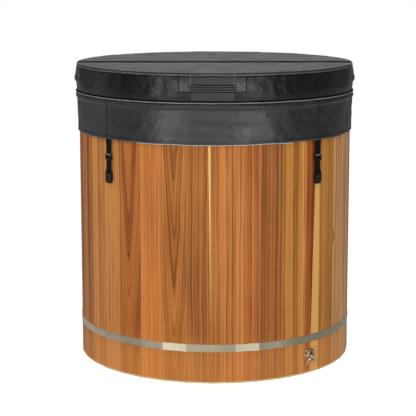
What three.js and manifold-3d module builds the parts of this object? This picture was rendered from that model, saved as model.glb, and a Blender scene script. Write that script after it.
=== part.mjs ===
// A round cold plunge tub. Cedar staves stand in a ring inside two steel hoops and hold a floor in a groove.
// A quarter-turn valve drains it. A foam-filled cover folds across the middle, with a skirt, handles and
// two hanging buckle straps. Millimetres, +Z up: the origin is the middle of the base, the front faces -Y.
import * as THREE from "three";
import { mergeVertices } from "three/addons/utils/BufferGeometryUtils.js";
import Module from "manifold-3d";

const wasm = await Module();
wasm.setup();

const degrees = THREE.MathUtils.degToRad;

// Clearances
const SEAT_GAP = 0.3; // between pieces that rest on or wrap one another
const RUN_GAP = 0.4; // round pieces that turn or slide
const OVERCUT = 1; // how far a cutting tool runs past the face that it opens
const WELD = 0.5; // how deep a piece of the same solid reaches into the next

// Staves
const STAVE_COUNT = 37;
const SINGLE_STAVES = 21; // staves with a node each, from left to right across the front
const WALL_RADIUS = 533.4; // from the axis to the corner where two staves meet
const STAVE_THICKNESS = 38;
const STAVE_HEIGHT = 1041;
const FIRST_JOINT = degrees(-1.5); // the joint nearest the middle of the front
const JOINT_CHAMFER = 1.2; // depth of the V that shows at each joint
const BEAD_RADIUS = 9.5; // half-round edge that fits a cove in the next stave
const BEAD_HEIGHT = 5;
const BEAD_STEPS = 4;

// Floor
const FLOOR_BOTTOM = 115;
const FLOOR_THICKNESS = 38;
const CROZE_DEPTH = 10; // groove in the staves that holds the floor's edge
const JOIST_WIDTH = 38;
const JOIST_OFFSET = 200; // from the axis to a joist's middle
const JOIST_END_GAP = 6; // from a joist's end to the staves

// Hoops
const HOOP_THICKNESS = 1.2;
const HOOP_WIDTH = 28;
const LOWER_HOOP_RISE = 5; // from the floor's underside to the hoop
const UPPER_HOOP_DROP = 53; // from the staves' top to the hoop
const HOOP_JOINT_STAVE = 14; // counted round from the first joint: the hoops close behind, to the right
const LUG_GAP = 16;
const LUG_THICKNESS = 5;
const LUG_REACH = 26; // how far a lug stands out from the hoop
const BOLT_RADIUS = 4;
const BOLT_STAND_OFF = 15; // from the hoop to the bolt's axis
const BOLT_TAIL = 4; // thread past the nut
const HEX_RADIUS = 7.5;
const HEX_HEIGHT = 6;
const LAP_LENGTH = 60;
const RIVET_RADIUS = 4;
const RIVET_HEIGHT = 1.2;
const RIVET_SPACING = 32;

// Drain
const DRAIN_STAVE = 4; // counted round from the first joint
const DRAIN_DROP = 49; // from the floor's underside to the spindle's axis
const DRAIN_INSET = 58.5; // from the staves' inner face to the middle of the floor drain
const TAIL_RADIUS = 24; // pipe below the strainer
const TAIL_WALL = 3.5;
const TAIL_ENTRY = 20; // how far the pipe goes into the valve body
const STRAINER_FLANGE = 12;
const STRAINER_THICKNESS = 3;
const STRAINER_HOLES = 6;
const STRAINER_HOLE_RADIUS = 4.5;
const STRAINER_HOLE_CIRCLE = 12.5;
const LOCK_NUT_FLANGE = 10;
const LOCK_NUT_HEIGHT = 10;
const VALVE_WALL = 6;
const VALVE_BORE = 20;
const VALVE_FOOT = 36; // from the spindle's axis down to the outlet
const BOSS_WALL = 5.6; // sleeve that carries the spindle through the stave
const SPINDLE_RADIUS = 4;
const SPINDLE_SEAT = 3; // blind bearing in the far wall of the valve
const DISC_GAP = 1; // between the disc and the valve's bore
const DISC_THICKNESS = 4;
const ESCUTCHEON_RADIUS = 29;
const ESCUTCHEON_RIM = 1.6;
const ESCUTCHEON_DOME_RADIUS = 16;
const ESCUTCHEON_HEIGHT = 7;
const HUB_WALL = 3.7;
const HUB_LENGTH = 9;
const ARM_RADIUS = 2;
const ARM_COUNT = 4;
const ARM_TURN = degrees(45);
const BALL_RADIUS = 4.2;
const BALL_OVERHANG = 6.8; // from the escutcheon's rim out to a ball's middle
const BALL_STAND_OFF = 7; // from the stave to a ball's middle
const HUB_WEB = 1; // between the spindle's end and the cap
const CAP_RIM = 2.4; // the hub's rim round the cap
const CAP_HEIGHT = 3.4;
const CAP_RECESS = 2;

// Cover
const COVER_THICKNESS = 103.5;
const COVER_OVERHANG = 7.6; // from the staves' corners to the seams along the cover's edges
const COVER_BULGE = 3.5; // how far the side swells out between the seams
const COVER_EDGE = 4; // rounding at the upper seam
const JACKET_WALL = 2;
const FOLD_GAP = 1;
const FOLD_ROUND = 8; // rounding where the two halves meet on top
const ZIP_END = 91; // from the cover's side to the zip's end
const ZIP_HEIGHT = 4;
const GUSSET_TOP = 3.2; // depth of the gusset below the cover's top
const GUSSET_BOTTOM = 6.2;
const COVER_STEPS = 72;
const SWELL_STEPS = 4;
const ROUND_STEPS = 4;

// Skirt
const SKIRT_ROOM = 5.6; // from the staves' corners to the skirt
const SKIRT_WALL = 2;
const SKIRT_LENGTH = 154;
const SKIRT_FOLDS = 14; // waves in a full turn
const SKIRT_FOLD_DEPTH = 1.6; // at the hem
const SKIRT_STEPS = 48;
const SKIRT_ROWS = 4;

// Handles
const HANDLE_ANGLE = degrees(-0.75);
const HANDLE_LENGTH = 241;
const SIDE_HANDLE_ANGLE = degrees(79);
const SIDE_HANDLE_LENGTH = 150;
const HANDLE_RISE = 34.2; // from the cover's underside
const HANDLE_WIDTH = 26.5;
const HANDLE_THICKNESS = 2.6;
const HANDLE_BOW = 9; // finger room behind the middle
const TAB_LENGTH = 39;
const SIDE_TAB_LENGTH = 26;
const TAB_HEIGHT = 55;
const TAB_THICKNESS = 3.6;
const HANDLE_STEPS = 20;

// Straps
const LEFT_STRAP_ANGLE = degrees(-46.5);
const RIGHT_STRAP_ANGLE = degrees(45);
const STRAP_WIDTH = 25;
const STRAP_THICKNESS = 3.2; // two layers of webbing
const EYE_WALL = 1.6; // one layer round the buckle's bar
const GLIDE_DROP = 67; // from the hem to its middle
const GLIDE_LENGTH = 18;
const GLIDE_BAR = 2.4;
const GLIDE_BAR_WIDTH = 4.5;
const GLIDE_POST = 3;
const BUCKLE_DROP = 123; // from the hem to the buckle's bar
const BUCKLE_BAR_RADIUS = 2;
const BUCKLE_ARM = 3;
const BUCKLE_ARM_DEPTH = 8;
const BUCKLE_THROAT = 5; // from the bar's axis to the body
const BUCKLE_BODY = 38;
const BUCKLE_THICKNESS = 10;
const BUCKLE_CHAMFER_WIDTH = 5;
const BUCKLE_CHAMFER_HEIGHT = 12;
const POCKET_WALL = 2.2;
const POCKET_DEPTH = 26;

// Round faces
const SHAFT_STEPS = 16;
const BORE_STEPS = 28;
const ROD_STEPS = 10;
const BALL_RINGS = 6;

// Sizes that follow
const HALF_PITCH = Math.PI / STAVE_COUNT;
const PITCH = 2 * HALF_PITCH;
const WALL_FACE = WALL_RADIUS * Math.cos(HALF_PITCH); // from the axis to a stave's flat outer face
const INNER_FACE = WALL_FACE - STAVE_THICKNESS;
const FLOOR_TOP = FLOOR_BOTTOM + FLOOR_THICKNESS;
const LOWER_HOOP_BOTTOM = FLOOR_BOTTOM + LOWER_HOOP_RISE;
const UPPER_HOOP_BOTTOM = STAVE_HEIGHT - UPPER_HOOP_DROP - HOOP_WIDTH;
const DRAIN_HEIGHT = FLOOR_BOTTOM - DRAIN_DROP;
const DRAIN_SETBACK = INNER_FACE - DRAIN_INSET;
const VALVE_BOTTOM = DRAIN_HEIGHT - VALVE_FOOT;
const BOSS_RADIUS = SPINDLE_RADIUS + RUN_GAP + BOSS_WALL;
const HUB_RADIUS = SPINDLE_RADIUS + SEAT_GAP + HUB_WALL;
const CAP_RADIUS = HUB_RADIUS - CAP_RIM;
const BALL_CIRCLE = ESCUTCHEON_RADIUS + BALL_OVERHANG;
const COVER_BOTTOM = STAVE_HEIGHT + SEAT_GAP;
const COVER_TOP = COVER_BOTTOM + COVER_THICKNESS;
const COVER_SEAM_RADIUS = WALL_RADIUS + COVER_OVERHANG;
const COVER_RADIUS = COVER_SEAM_RADIUS + COVER_BULGE;
const HANDLE_BOTTOM = COVER_BOTTOM + HANDLE_RISE;
const SKIRT_RADIUS = WALL_RADIUS + SKIRT_ROOM + SKIRT_WALL / 2; // middle of the cloth
const SKIRT_HEM = COVER_BOTTOM - SEAT_GAP - SKIRT_LENGTH;
const GLIDE_HEIGHT = SKIRT_HEM - GLIDE_DROP;
const BUCKLE_BAR_HEIGHT = SKIRT_HEM - BUCKLE_DROP;

const looks = {
  cedar: { color: 0xb9763c, roughness: 0.6, metalness: 0 },
  floor: { color: 0xa96a35, roughness: 0.7, metalness: 0 },
  steel: { color: 0xa9a99c, roughness: 0.35, metalness: 1 },
  brass: { color: 0xb08a4a, roughness: 0.4, metalness: 1 },
  chrome: { color: 0xd8d8d8, roughness: 0.08, metalness: 1 },
  vinyl: { color: 0x1b1b1d, roughness: 0.45, metalness: 0 },
  foam: { color: 0xf0f0ec, roughness: 0.9, metalness: 0 },
  webbing: { color: 0x161617, roughness: 0.8, metalness: 0 },
  plastic: { color: 0x121213, roughness: 0.35, metalness: 0 },
};
const material = Object.fromEntries(
  Object.entries(looks).map(([name, look]) => [name, new THREE.MeshStandardMaterial(look)]),
);

// Solids

// The geometry as a solid: equal corners are merged and faces that collapsed are left out.
function solid(geometry) {
  const bare = geometry.clone();
  bare.deleteAttribute("normal");
  bare.deleteAttribute("uv");
  const merged = mergeVertices(bare);
  const index = merged.index.array;
  const corners = [];
  for (let i = 0; i < index.length; i += 3) {
    const [a, b, c] = index.slice(i, i + 3);
    if (a !== b && b !== c && c !== a) corners.push(a, b, c);
  }
  const triVerts = new Uint32Array(corners);
  return new wasm.Manifold(
    new wasm.Mesh({ numProp: 3, vertProperties: merged.attributes.position.array, triVerts }),
  );
}

function geometryOf(body) {
  const mesh = body.getMesh();
  const geometry = new THREE.BufferGeometry();
  geometry.setAttribute("position", new THREE.BufferAttribute(mesh.vertProperties, 3));
  geometry.setIndex(new THREE.BufferAttribute(mesh.triVerts, 1));
  geometry.computeVertexNormals();
  return geometry;
}

const join = (first, ...others) =>
  geometryOf(others.reduce((sum, other) => sum.add(solid(other)), solid(first)));
const cut = (body, ...tools) =>
  geometryOf(tools.reduce((rest, tool) => rest.subtract(solid(tool)), solid(body)));
const common = (a, b) => geometryOf(solid(a).intersect(solid(b)));

// A point at an angle from the front, turning towards +X, with an offset along the tangent.
const polar = (angle, radius, along = 0) =>
  new THREE.Vector2(
    radius * Math.sin(angle) + along * Math.cos(angle),
    along * Math.sin(angle) - radius * Math.cos(angle),
  );

function extrudeUp(outline, bottom, top, hole) {
  const shape = new THREE.Shape(outline);
  if (hole) shape.holes.push(new THREE.Path(hole));
  const geometry = new THREE.ExtrudeGeometry(shape, { depth: top - bottom, bevelEnabled: false });
  return geometry.translate(0, 0, bottom);
}

// A drawing of [y, z] drawn out along X.
function extrudeAcross(shape, reach, curveSegments = 1) {
  const axes = new THREE.Matrix4().makeBasis(
    new THREE.Vector3(0, 1, 0),
    new THREE.Vector3(0, 0, 1),
    new THREE.Vector3(1, 0, 0),
  );
  const options = { depth: 2 * reach, bevelEnabled: false, curveSegments };
  return new THREE.ExtrudeGeometry(shape, options).applyMatrix4(axes).translate(-reach, 0, 0);
}

// A closed profile of [radius, height] turned round the Z axis.
function turnUp(profile, steps) {
  const points = profile.map(([radius, height]) => new THREE.Vector2(radius, height));
  return geometryOf(solid(new THREE.LatheGeometry(points, steps).rotateX(Math.PI / 2)));
}

// A closed profile of [radius, distance from the tub's axis] turned round the drain's axis.
const turnOut = (profile, steps) =>
  turnUp(profile, steps).rotateX(Math.PI / 2).translate(0, 0, DRAIN_HEIGHT);

// A round bar between two points.
function bar(from, to, radius, steps = SHAFT_STEPS) {
  const along = new THREE.Vector3().subVectors(to, from);
  const turn = new THREE.Quaternion().setFromUnitVectors(
    new THREE.Vector3(0, 1, 0),
    along.clone().normalize(),
  );
  const middle = from.clone().addScaledVector(along, 0.5);
  return new THREE.CylinderGeometry(radius, radius, along.length(), steps)
    .applyQuaternion(turn)
    .translate(middle.x, middle.y, middle.z);
}

// A bar along the drain's axis, from one distance from the tub's axis to another.
const radialBar = (from, to, radius, steps) =>
  bar(new THREE.Vector3(0, -from, DRAIN_HEIGHT), new THREE.Vector3(0, -to, DRAIN_HEIGHT), radius, steps);

const block = (x, y, z) =>
  new THREE.BoxGeometry(x[1] - x[0], y[1] - y[0], z[1] - z[0]).translate(
    (x[0] + x[1]) / 2,
    (y[0] + y[1]) / 2,
    (z[0] + z[1]) / 2,
  );

// A prism with one side for each stave, turned so that a corner or a side faces the front.
function wallPrism(face, bottom, top, turn) {
  const radius = face / Math.cos(HALF_PITCH);
  return new THREE.CylinderGeometry(radius, radius, top - bottom, STAVE_COUNT)
    .rotateX(Math.PI / 2)
    .rotateZ(turn)
    .translate(0, 0, (top + bottom) / 2);
}

// A flat strip bent round the tub: place gives the angle, radius and height of each of its corners.
function bentStrip(width, height, thickness, steps, rows, place) {
  const geometry = new THREE.BoxGeometry(width, height, thickness, steps, rows, 1);
  const position = geometry.getAttribute("position");
  for (let i = 0; i < position.count; i++) {
    const [angle, radius, level] = place(position.getX(i), position.getY(i), position.getZ(i));
    const point = polar(angle, radius);
    position.setXYZ(i, point.x, point.y, level);
  }
  return geometryOf(solid(geometry));
}

// Staves

// The outline of a run of staves, seen from above and centred on the front, with a cove on its left edge
// and a bead on its right.
function staveOutline(run) {
  const side = run * HALF_PITCH;
  const corner = WALL_RADIUS - JOINT_CHAMFER;
  const inside = INNER_FACE / Math.cos(HALF_PITCH);
  const halfFace = WALL_RADIUS * Math.sin(HALF_PITCH) - JOINT_CHAMFER;
  const middle = WALL_FACE - STAVE_THICKNESS / 2;
  const inset = BEAD_RADIUS - BEAD_HEIGHT;
  const coveRadius = BEAD_RADIUS + SEAT_GAP;
  const beadHalf = Math.acos(inset / BEAD_RADIUS);
  const coveHalf = Math.acos((inset + SEAT_GAP) / coveRadius);
  const sweep = (half) =>
    Array.from({ length: BEAD_STEPS + 1 }, (_, i) => half * ((2 * i) / BEAD_STEPS - 1));

  const points = [polar(-side, corner, SEAT_GAP / 2)];
  for (let i = 0; i < run; i++) {
    const centre = (2 * i + 1) * HALF_PITCH - side;
    points.push(polar(centre, WALL_FACE, -halfFace), polar(centre, WALL_FACE, halfFace));
    if (i + 1 < run) points.push(polar(centre + HALF_PITCH, corner));
  }
  points.push(polar(side, corner, -SEAT_GAP / 2));
  for (const turn of sweep(beadHalf)) {
    const out = BEAD_RADIUS * Math.cos(turn) - inset - SEAT_GAP / 2;
    points.push(polar(side, middle - BEAD_RADIUS * Math.sin(turn), out));
  }
  points.push(polar(side, inside, -SEAT_GAP / 2));
  for (let i = run - 1; i > 0; i--) points.push(polar(2 * i * HALF_PITCH - side, inside));
  points.push(polar(-side, inside, SEAT_GAP / 2));
  for (const turn of sweep(coveHalf).reverse()) {
    const deep = coveRadius * Math.cos(turn) - inset - SEAT_GAP / 2;
    points.push(polar(-side, middle - coveRadius * Math.sin(turn), deep));
  }
  return points;
}

function staves(run) {
  const groove = wallPrism(
    INNER_FACE + CROZE_DEPTH,
    FLOOR_BOTTOM - SEAT_GAP,
    FLOOR_TOP + SEAT_GAP,
    run % 2 ? HALF_PITCH : 0,
  );
  return cut(extrudeUp(staveOutline(run), 0, STAVE_HEIGHT), groove);
}

const drainStave = () =>
  cut(staves(1), radialBar(INNER_FACE - OVERCUT, WALL_FACE + OVERCUT, BOSS_RADIUS + SEAT_GAP));

// Floor

function drainWell(radius, bottom, top) {
  const low = new THREE.Vector3(0, -DRAIN_SETBACK, bottom);
  return bar(low, low.clone().setZ(top), radius, BORE_STEPS);
}

// The floor as seen from the drain's stave, whose flat side faces the front.
const floor = () =>
  cut(
    wallPrism(INNER_FACE + CROZE_DEPTH - SEAT_GAP, FLOOR_BOTTOM, FLOOR_TOP, HALF_PITCH),
    drainWell(TAIL_RADIUS + SEAT_GAP, FLOOR_BOTTOM - OVERCUT, FLOOR_TOP + OVERCUT),
  );

function joist() {
  const outer = JOIST_OFFSET + JOIST_WIDTH / 2;
  const reach = Math.sqrt(INNER_FACE ** 2 - outer ** 2) - JOIST_END_GAP;
  return block(
    [-reach, reach],
    [-outer, JOIST_WIDTH - outer],
    [0, FLOOR_BOTTOM - SEAT_GAP],
  );
}

// Hoops, with the stave where they close at the front

const HOOP_FACE = WALL_FACE + SEAT_GAP;
const HOOP_OUTSIDE = HOOP_FACE + HOOP_THICKNESS;
const BOLT_AXIS = HOOP_OUTSIDE + BOLT_STAND_OFF;

function hoopCorners(face) {
  const corner = face / Math.cos(HALF_PITCH);
  return Array.from({ length: STAVE_COUNT }, (_, i) => polar((2 * i + 1) * HALF_PITCH, corner));
}

function boltBar(from, to, radius, steps) {
  const start = new THREE.Vector3(from, -BOLT_AXIS, LOWER_HOOP_BOTTOM + HOOP_WIDTH / 2);
  return bar(start, start.clone().setX(to), radius, steps);
}

function lowerHoop() {
  const inner = LUG_GAP / 2;
  const outer = inner + LUG_THICKNESS;
  const tip = HOOP_OUTSIDE + LUG_REACH;
  const outline = [
    polar(0, tip, inner),
    polar(0, tip, outer),
    polar(0, HOOP_OUTSIDE, outer),
    ...hoopCorners(HOOP_OUTSIDE),
    polar(0, HOOP_OUTSIDE, -outer),
    polar(0, tip, -outer),
    polar(0, tip, -inner),
    polar(0, HOOP_FACE, -inner),
    ...hoopCorners(HOOP_FACE).reverse(),
    polar(0, HOOP_FACE, inner),
  ];
  const band = extrudeUp(outline, LOWER_HOOP_BOTTOM, LOWER_HOOP_BOTTOM + HOOP_WIDTH);
  return cut(band, boltBar(-outer - OVERCUT, outer + OVERCUT, BOLT_RADIUS + SEAT_GAP));
}

const LUG_FACE = LUG_GAP / 2 + LUG_THICKNESS + SEAT_GAP;

const hoopBolt = () =>
  join(
    boltBar(-LUG_FACE - HEX_HEIGHT, -LUG_FACE, HEX_RADIUS, 6),
    boltBar(-LUG_FACE - WELD, LUG_FACE + HEX_HEIGHT + BOLT_TAIL, BOLT_RADIUS),
  );

const hoopNut = () =>
  cut(
    boltBar(LUG_FACE, LUG_FACE + HEX_HEIGHT, HEX_RADIUS, 6),
    boltBar(LUG_FACE - OVERCUT, LUG_FACE + HEX_HEIGHT + OVERCUT, BOLT_RADIUS + SEAT_GAP),
  );

function upperHoop() {
  const top = UPPER_HOOP_BOTTOM + HOOP_WIDTH;
  const middle = UPPER_HOOP_BOTTOM + HOOP_WIDTH / 2;
  const lapFace = HOOP_OUTSIDE + HOOP_THICKNESS;
  const rivet = (x) =>
    bar(
      new THREE.Vector3(x, WELD - lapFace, middle),
      new THREE.Vector3(x, -lapFace - RIVET_HEIGHT, middle),
      RIVET_RADIUS,
      ROD_STEPS,
    );
  return join(
    extrudeUp(hoopCorners(HOOP_OUTSIDE), UPPER_HOOP_BOTTOM, top, hoopCorners(HOOP_FACE)),
    block([-LAP_LENGTH / 2, LAP_LENGTH / 2], [-lapFace, WELD - HOOP_OUTSIDE], [UPPER_HOOP_BOTTOM, top]),
    rivet(-RIVET_SPACING / 2),
    rivet(RIVET_SPACING / 2),
  );
}

// Drain, with its stave at the front

const VALVE_TOP = FLOOR_BOTTOM - LOCK_NUT_HEIGHT - 2 * SEAT_GAP;
const TAIL_BOTTOM = VALVE_TOP - TAIL_ENTRY;
const SPINDLE_START = DRAIN_SETBACK - VALVE_BORE - SPINDLE_SEAT;
const PLATE_BACK = WALL_FACE + SEAT_GAP;
const HUB_BACK = PLATE_BACK + ESCUTCHEON_HEIGHT + RUN_GAP;
const HUB_FRONT = HUB_BACK + HUB_LENGTH;
const SPINDLE_END = HUB_FRONT - CAP_RECESS - HUB_WEB;

const atDrain = (geometry) => geometry.translate(0, -DRAIN_SETBACK, 0);

function strainer() {
  const seat = FLOOR_TOP + SEAT_GAP;
  const flange = TAIL_RADIUS + STRAINER_FLANGE;
  const plate = turnUp(
    [
      [0, seat],
      [TAIL_RADIUS - TAIL_WALL, seat],
      [TAIL_RADIUS - TAIL_WALL, TAIL_BOTTOM + SEAT_GAP],
      [TAIL_RADIUS, TAIL_BOTTOM + SEAT_GAP],
      [TAIL_RADIUS, seat],
      [flange, seat],
      [flange - STRAINER_THICKNESS, seat + STRAINER_THICKNESS],
      [0, seat + STRAINER_THICKNESS],
    ],
    BORE_STEPS,
  );
  const holes = Array.from({ length: STRAINER_HOLES }, (_, i) => {
    const spot = polar((i * 2 * Math.PI) / STRAINER_HOLES, STRAINER_HOLE_CIRCLE);
    return bar(
      new THREE.Vector3(spot.x, spot.y, seat - OVERCUT),
      new THREE.Vector3(spot.x, spot.y, seat + STRAINER_THICKNESS + OVERCUT),
      STRAINER_HOLE_RADIUS,
      ROD_STEPS,
    );
  });
  return atDrain(cut(plate, ...holes));
}

const lockNut = () =>
  cut(
    drainWell(TAIL_RADIUS + LOCK_NUT_FLANGE, VALVE_TOP + SEAT_GAP, FLOOR_BOTTOM - SEAT_GAP),
    drainWell(TAIL_RADIUS + SEAT_GAP, VALVE_TOP, FLOOR_BOTTOM + OVERCUT),
  );

function valveBody() {
  const outside = VALVE_BORE + VALVE_WALL;
  const socket = TAIL_RADIUS + SEAT_GAP;
  const housing = atDrain(
    turnUp(
      [
        [0, VALVE_BOTTOM],
        [outside, VALVE_BOTTOM],
        [outside, TAIL_BOTTOM - VALVE_WALL],
        [socket + VALVE_WALL, TAIL_BOTTOM],
        [socket + VALVE_WALL, VALVE_TOP],
        [0, VALVE_TOP],
      ],
      BORE_STEPS,
    ),
  );
  return cut(
    join(housing, radialBar(DRAIN_SETBACK, WALL_FACE, BOSS_RADIUS)),
    drainWell(VALVE_BORE, VALVE_BOTTOM - OVERCUT, VALVE_TOP + OVERCUT),
    drainWell(socket, TAIL_BOTTOM, VALVE_TOP + OVERCUT),
    radialBar(SPINDLE_START, WALL_FACE + OVERCUT, SPINDLE_RADIUS + RUN_GAP),
  );
}

function spindle() {
  const low = DRAIN_HEIGHT - DISC_THICKNESS / 2;
  return join(
    radialBar(SPINDLE_START + RUN_GAP, SPINDLE_END, SPINDLE_RADIUS),
    drainWell(VALVE_BORE - DISC_GAP, low, low + DISC_THICKNESS),
  );
}

const escutcheon = () =>
  turnOut(
    [
      [SPINDLE_RADIUS + RUN_GAP, PLATE_BACK],
      [ESCUTCHEON_RADIUS, PLATE_BACK],
      [ESCUTCHEON_RADIUS, PLATE_BACK + ESCUTCHEON_RIM],
      [ESCUTCHEON_DOME_RADIUS, PLATE_BACK + 2 * ESCUTCHEON_RIM],
      [HUB_RADIUS, PLATE_BACK + ESCUTCHEON_HEIGHT],
      [SPINDLE_RADIUS + RUN_GAP, PLATE_BACK + ESCUTCHEON_HEIGHT],
      [SPINDLE_RADIUS + RUN_GAP, PLATE_BACK],
    ],
    BORE_STEPS,
  );

function crossHandle() {
  const hub = turnOut(
    [
      [0, HUB_BACK],
      [HUB_RADIUS, HUB_BACK],
      [HUB_RADIUS, HUB_FRONT],
      [0, HUB_FRONT],
    ],
    BORE_STEPS,
  );
  const root = new THREE.Vector3(0, -(HUB_BACK + HUB_LENGTH / 2), DRAIN_HEIGHT);
  const arms = [];
  for (let i = 0; i < ARM_COUNT; i++) {
    const turn = ARM_TURN + (i * 2 * Math.PI) / ARM_COUNT;
    const ball = new THREE.Vector3(
      BALL_CIRCLE * Math.cos(turn),
      -(WALL_FACE + BALL_STAND_OFF),
      DRAIN_HEIGHT + BALL_CIRCLE * Math.sin(turn),
    );
    const round = new THREE.SphereGeometry(BALL_RADIUS, ROD_STEPS, BALL_RINGS);
    arms.push(bar(root, ball, ARM_RADIUS, ROD_STEPS), round.translate(ball.x, ball.y, ball.z));
  }
  return cut(
    join(hub, ...arms),
    radialBar(HUB_BACK - OVERCUT, SPINDLE_END + SEAT_GAP, SPINDLE_RADIUS + SEAT_GAP),
    radialBar(HUB_FRONT - CAP_RECESS, HUB_FRONT + OVERCUT, CAP_RADIUS + SEAT_GAP, BORE_STEPS),
  );
}

function handleCap() {
  const back = HUB_FRONT - CAP_RECESS + SEAT_GAP;
  return turnOut(
    [
      [0, back],
      [CAP_RADIUS, back],
      [CAP_RADIUS, back + CAP_RECESS],
      [CAP_RADIUS / 2, back + CAP_HEIGHT],
      [0, back + CAP_HEIGHT],
    ],
    BORE_STEPS,
  );
}

// Cover: the front half, which serves as the rear half too when it is turned round

// One half of the cover, drawn in from its outside by an inset all round.
function coverHalf(inset) {
  const bottom = COVER_BOTTOM + inset;
  const top = COVER_TOP - inset;
  const seam = COVER_SEAM_RADIUS - inset;
  const height = top - bottom;
  const swell = Array.from({ length: SWELL_STEPS - 1 }, (_, i) => {
    const share = (i + 1) / SWELL_STEPS;
    return [seam + COVER_BULGE * Math.sin(Math.PI * share), bottom + height * share];
  });
  const drum = turnUp(
    [
      [0, bottom],
      [seam, bottom],
      ...swell,
      [seam, top - COVER_EDGE],
      [seam - COVER_EDGE, top],
      [0, top],
    ],
    COVER_STEPS,
  );
  const far = COVER_RADIUS + OVERCUT;
  const near = FOLD_GAP / 2 + inset;
  const round = FOLD_ROUND - inset;
  const side = new THREE.Shape()
    .moveTo(-far, bottom - OVERCUT)
    .lineTo(-near, bottom - OVERCUT)
    .lineTo(-near, top - round)
    .absarc(-near - round, top - round, round, 0, Math.PI / 2, false)
    .lineTo(-near - round, top + OVERCUT)
    .lineTo(-far, top + OVERCUT);
  return common(drum, extrudeAcross(side, far, ROUND_STEPS));
}

function jacket() {
  const middle = (COVER_BOTTOM + COVER_TOP) / 2;
  const zip = block(
    [ZIP_END - COVER_SEAM_RADIUS, COVER_SEAM_RADIUS - ZIP_END],
    [-FOLD_GAP / 2 - JACKET_WALL - OVERCUT, OVERCUT],
    [middle - ZIP_HEIGHT / 2, middle + ZIP_HEIGHT / 2],
  );
  return cut(coverHalf(0), coverHalf(JACKET_WALL), zip);
}

const foamCore = () => coverHalf(JACKET_WALL + SEAT_GAP);

// A strip tucked into the valley between the two rounded edges on top.
function gusset() {
  const halfWidth = (depth) => {
    const fall = FOLD_ROUND - depth;
    return FOLD_GAP / 2 + FOLD_ROUND - Math.sqrt(FOLD_ROUND ** 2 - fall ** 2) - SEAT_GAP;
  };
  const reach = COVER_SEAM_RADIUS - COVER_EDGE;
  const wide = halfWidth(GUSSET_TOP);
  const narrow = halfWidth(GUSSET_BOTTOM);
  const outline = [
    new THREE.Vector2(-narrow, COVER_TOP - GUSSET_BOTTOM),
    new THREE.Vector2(narrow, COVER_TOP - GUSSET_BOTTOM),
    new THREE.Vector2(wide, COVER_TOP - GUSSET_TOP),
    new THREE.Vector2(-wide, COVER_TOP - GUSSET_TOP),
  ];
  return extrudeAcross(new THREE.Shape(outline), reach);
}

function skirt() {
  const span = Math.PI - 2 * Math.asin(FOLD_GAP / 2 / SKIRT_RADIUS);
  return bentStrip(span, SKIRT_LENGTH, SKIRT_WALL, SKIRT_STEPS, SKIRT_ROWS, (x, y, z) => {
    const drop = 0.5 - y / SKIRT_LENGTH;
    const fold = SKIRT_FOLD_DEPTH * drop * Math.cos(SKIRT_FOLDS * x);
    return [x, SKIRT_RADIUS + z + fold, SKIRT_HEM + SKIRT_LENGTH / 2 + y];
  });
}

// A strap sewn down by a tab at each end, which stands off the cover's side between them.
function handle(length, tabLength) {
  const seat = COVER_RADIUS + SEAT_GAP;
  const free = length / 2 - tabLength;
  const bow = (x) => {
    const share = Math.min(Math.abs(x) / free, 1);
    return HANDLE_BOW * (1 - share ** 2) ** 2;
  };
  const level = HANDLE_BOTTOM + HANDLE_WIDTH / 2;
  const strap = bentStrip(length - WELD, HANDLE_WIDTH, HANDLE_THICKNESS, HANDLE_STEPS, 1, (x, y, z) => [
    x / seat,
    seat + WELD / 2 + HANDLE_THICKNESS / 2 + bow(x) + z,
    level + WELD + y,
  ]);
  const tab = (middle) =>
    bentStrip(tabLength, TAB_HEIGHT, TAB_THICKNESS, 2, 1, (x, y, z) => [
      (middle + x) / seat,
      seat + TAB_THICKNESS / 2 + z,
      HANDLE_BOTTOM + TAB_HEIGHT / 2 + y,
    ]);
  const end = (length - tabLength) / 2;
  return join(strap, tab(-end), tab(end));
}

// Straps, each at the front

// A doubled strap with a rounded top at its pivot and an eye round the buckle's bar.
function strap() {
  const half = STRAP_THICKNESS / 2;
  const pivot = SKIRT_HEM - RUN_GAP - half;
  const eye = BUCKLE_BAR_RADIUS + RUN_GAP;
  const loop = eye + EYE_WALL;
  const turn = Math.acos(half / loop);
  const side = new THREE.Shape()
    .absarc(0, pivot, half, 0, Math.PI, false)
    .absarc(0, BUCKLE_BAR_HEIGHT, loop, Math.PI - turn, turn, false);
  side.holes.push(new THREE.Path().absarc(0, BUCKLE_BAR_HEIGHT, eye, 0, 2 * Math.PI, false));
  return extrudeAcross(side, STRAP_WIDTH / 2, SHAFT_STEPS / 2).translate(0, -SKIRT_RADIUS, 0);
}

// A three-bar slide: the strap runs behind its upper and lower bars and in front of its middle one.
function glide() {
  const inner = STRAP_WIDTH / 2 + RUN_GAP;
  const outer = inner + GLIDE_POST;
  const near = STRAP_THICKNESS / 2 + RUN_GAP;
  const far = near + GLIDE_BAR;
  const low = GLIDE_HEIGHT - GLIDE_LENGTH / 2;
  const high = GLIDE_HEIGHT + GLIDE_LENGTH / 2;
  const front = [-SKIRT_RADIUS - far, -SKIRT_RADIUS - near];
  const back = [near - SKIRT_RADIUS, far - SKIRT_RADIUS];
  const posts = [front[0], back[1]];
  const width = [-inner - WELD, inner + WELD];
  return join(
    block([-outer, -inner], posts, [low, high]),
    block([inner, outer], posts, [low, high]),
    block(width, front, [low, low + GLIDE_BAR_WIDTH]),
    block(width, front, [high - GLIDE_BAR_WIDTH, high]),
    block(width, back, [GLIDE_HEIGHT - GLIDE_BAR_WIDTH / 2, GLIDE_HEIGHT + GLIDE_BAR_WIDTH / 2]),
  );
}

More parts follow.
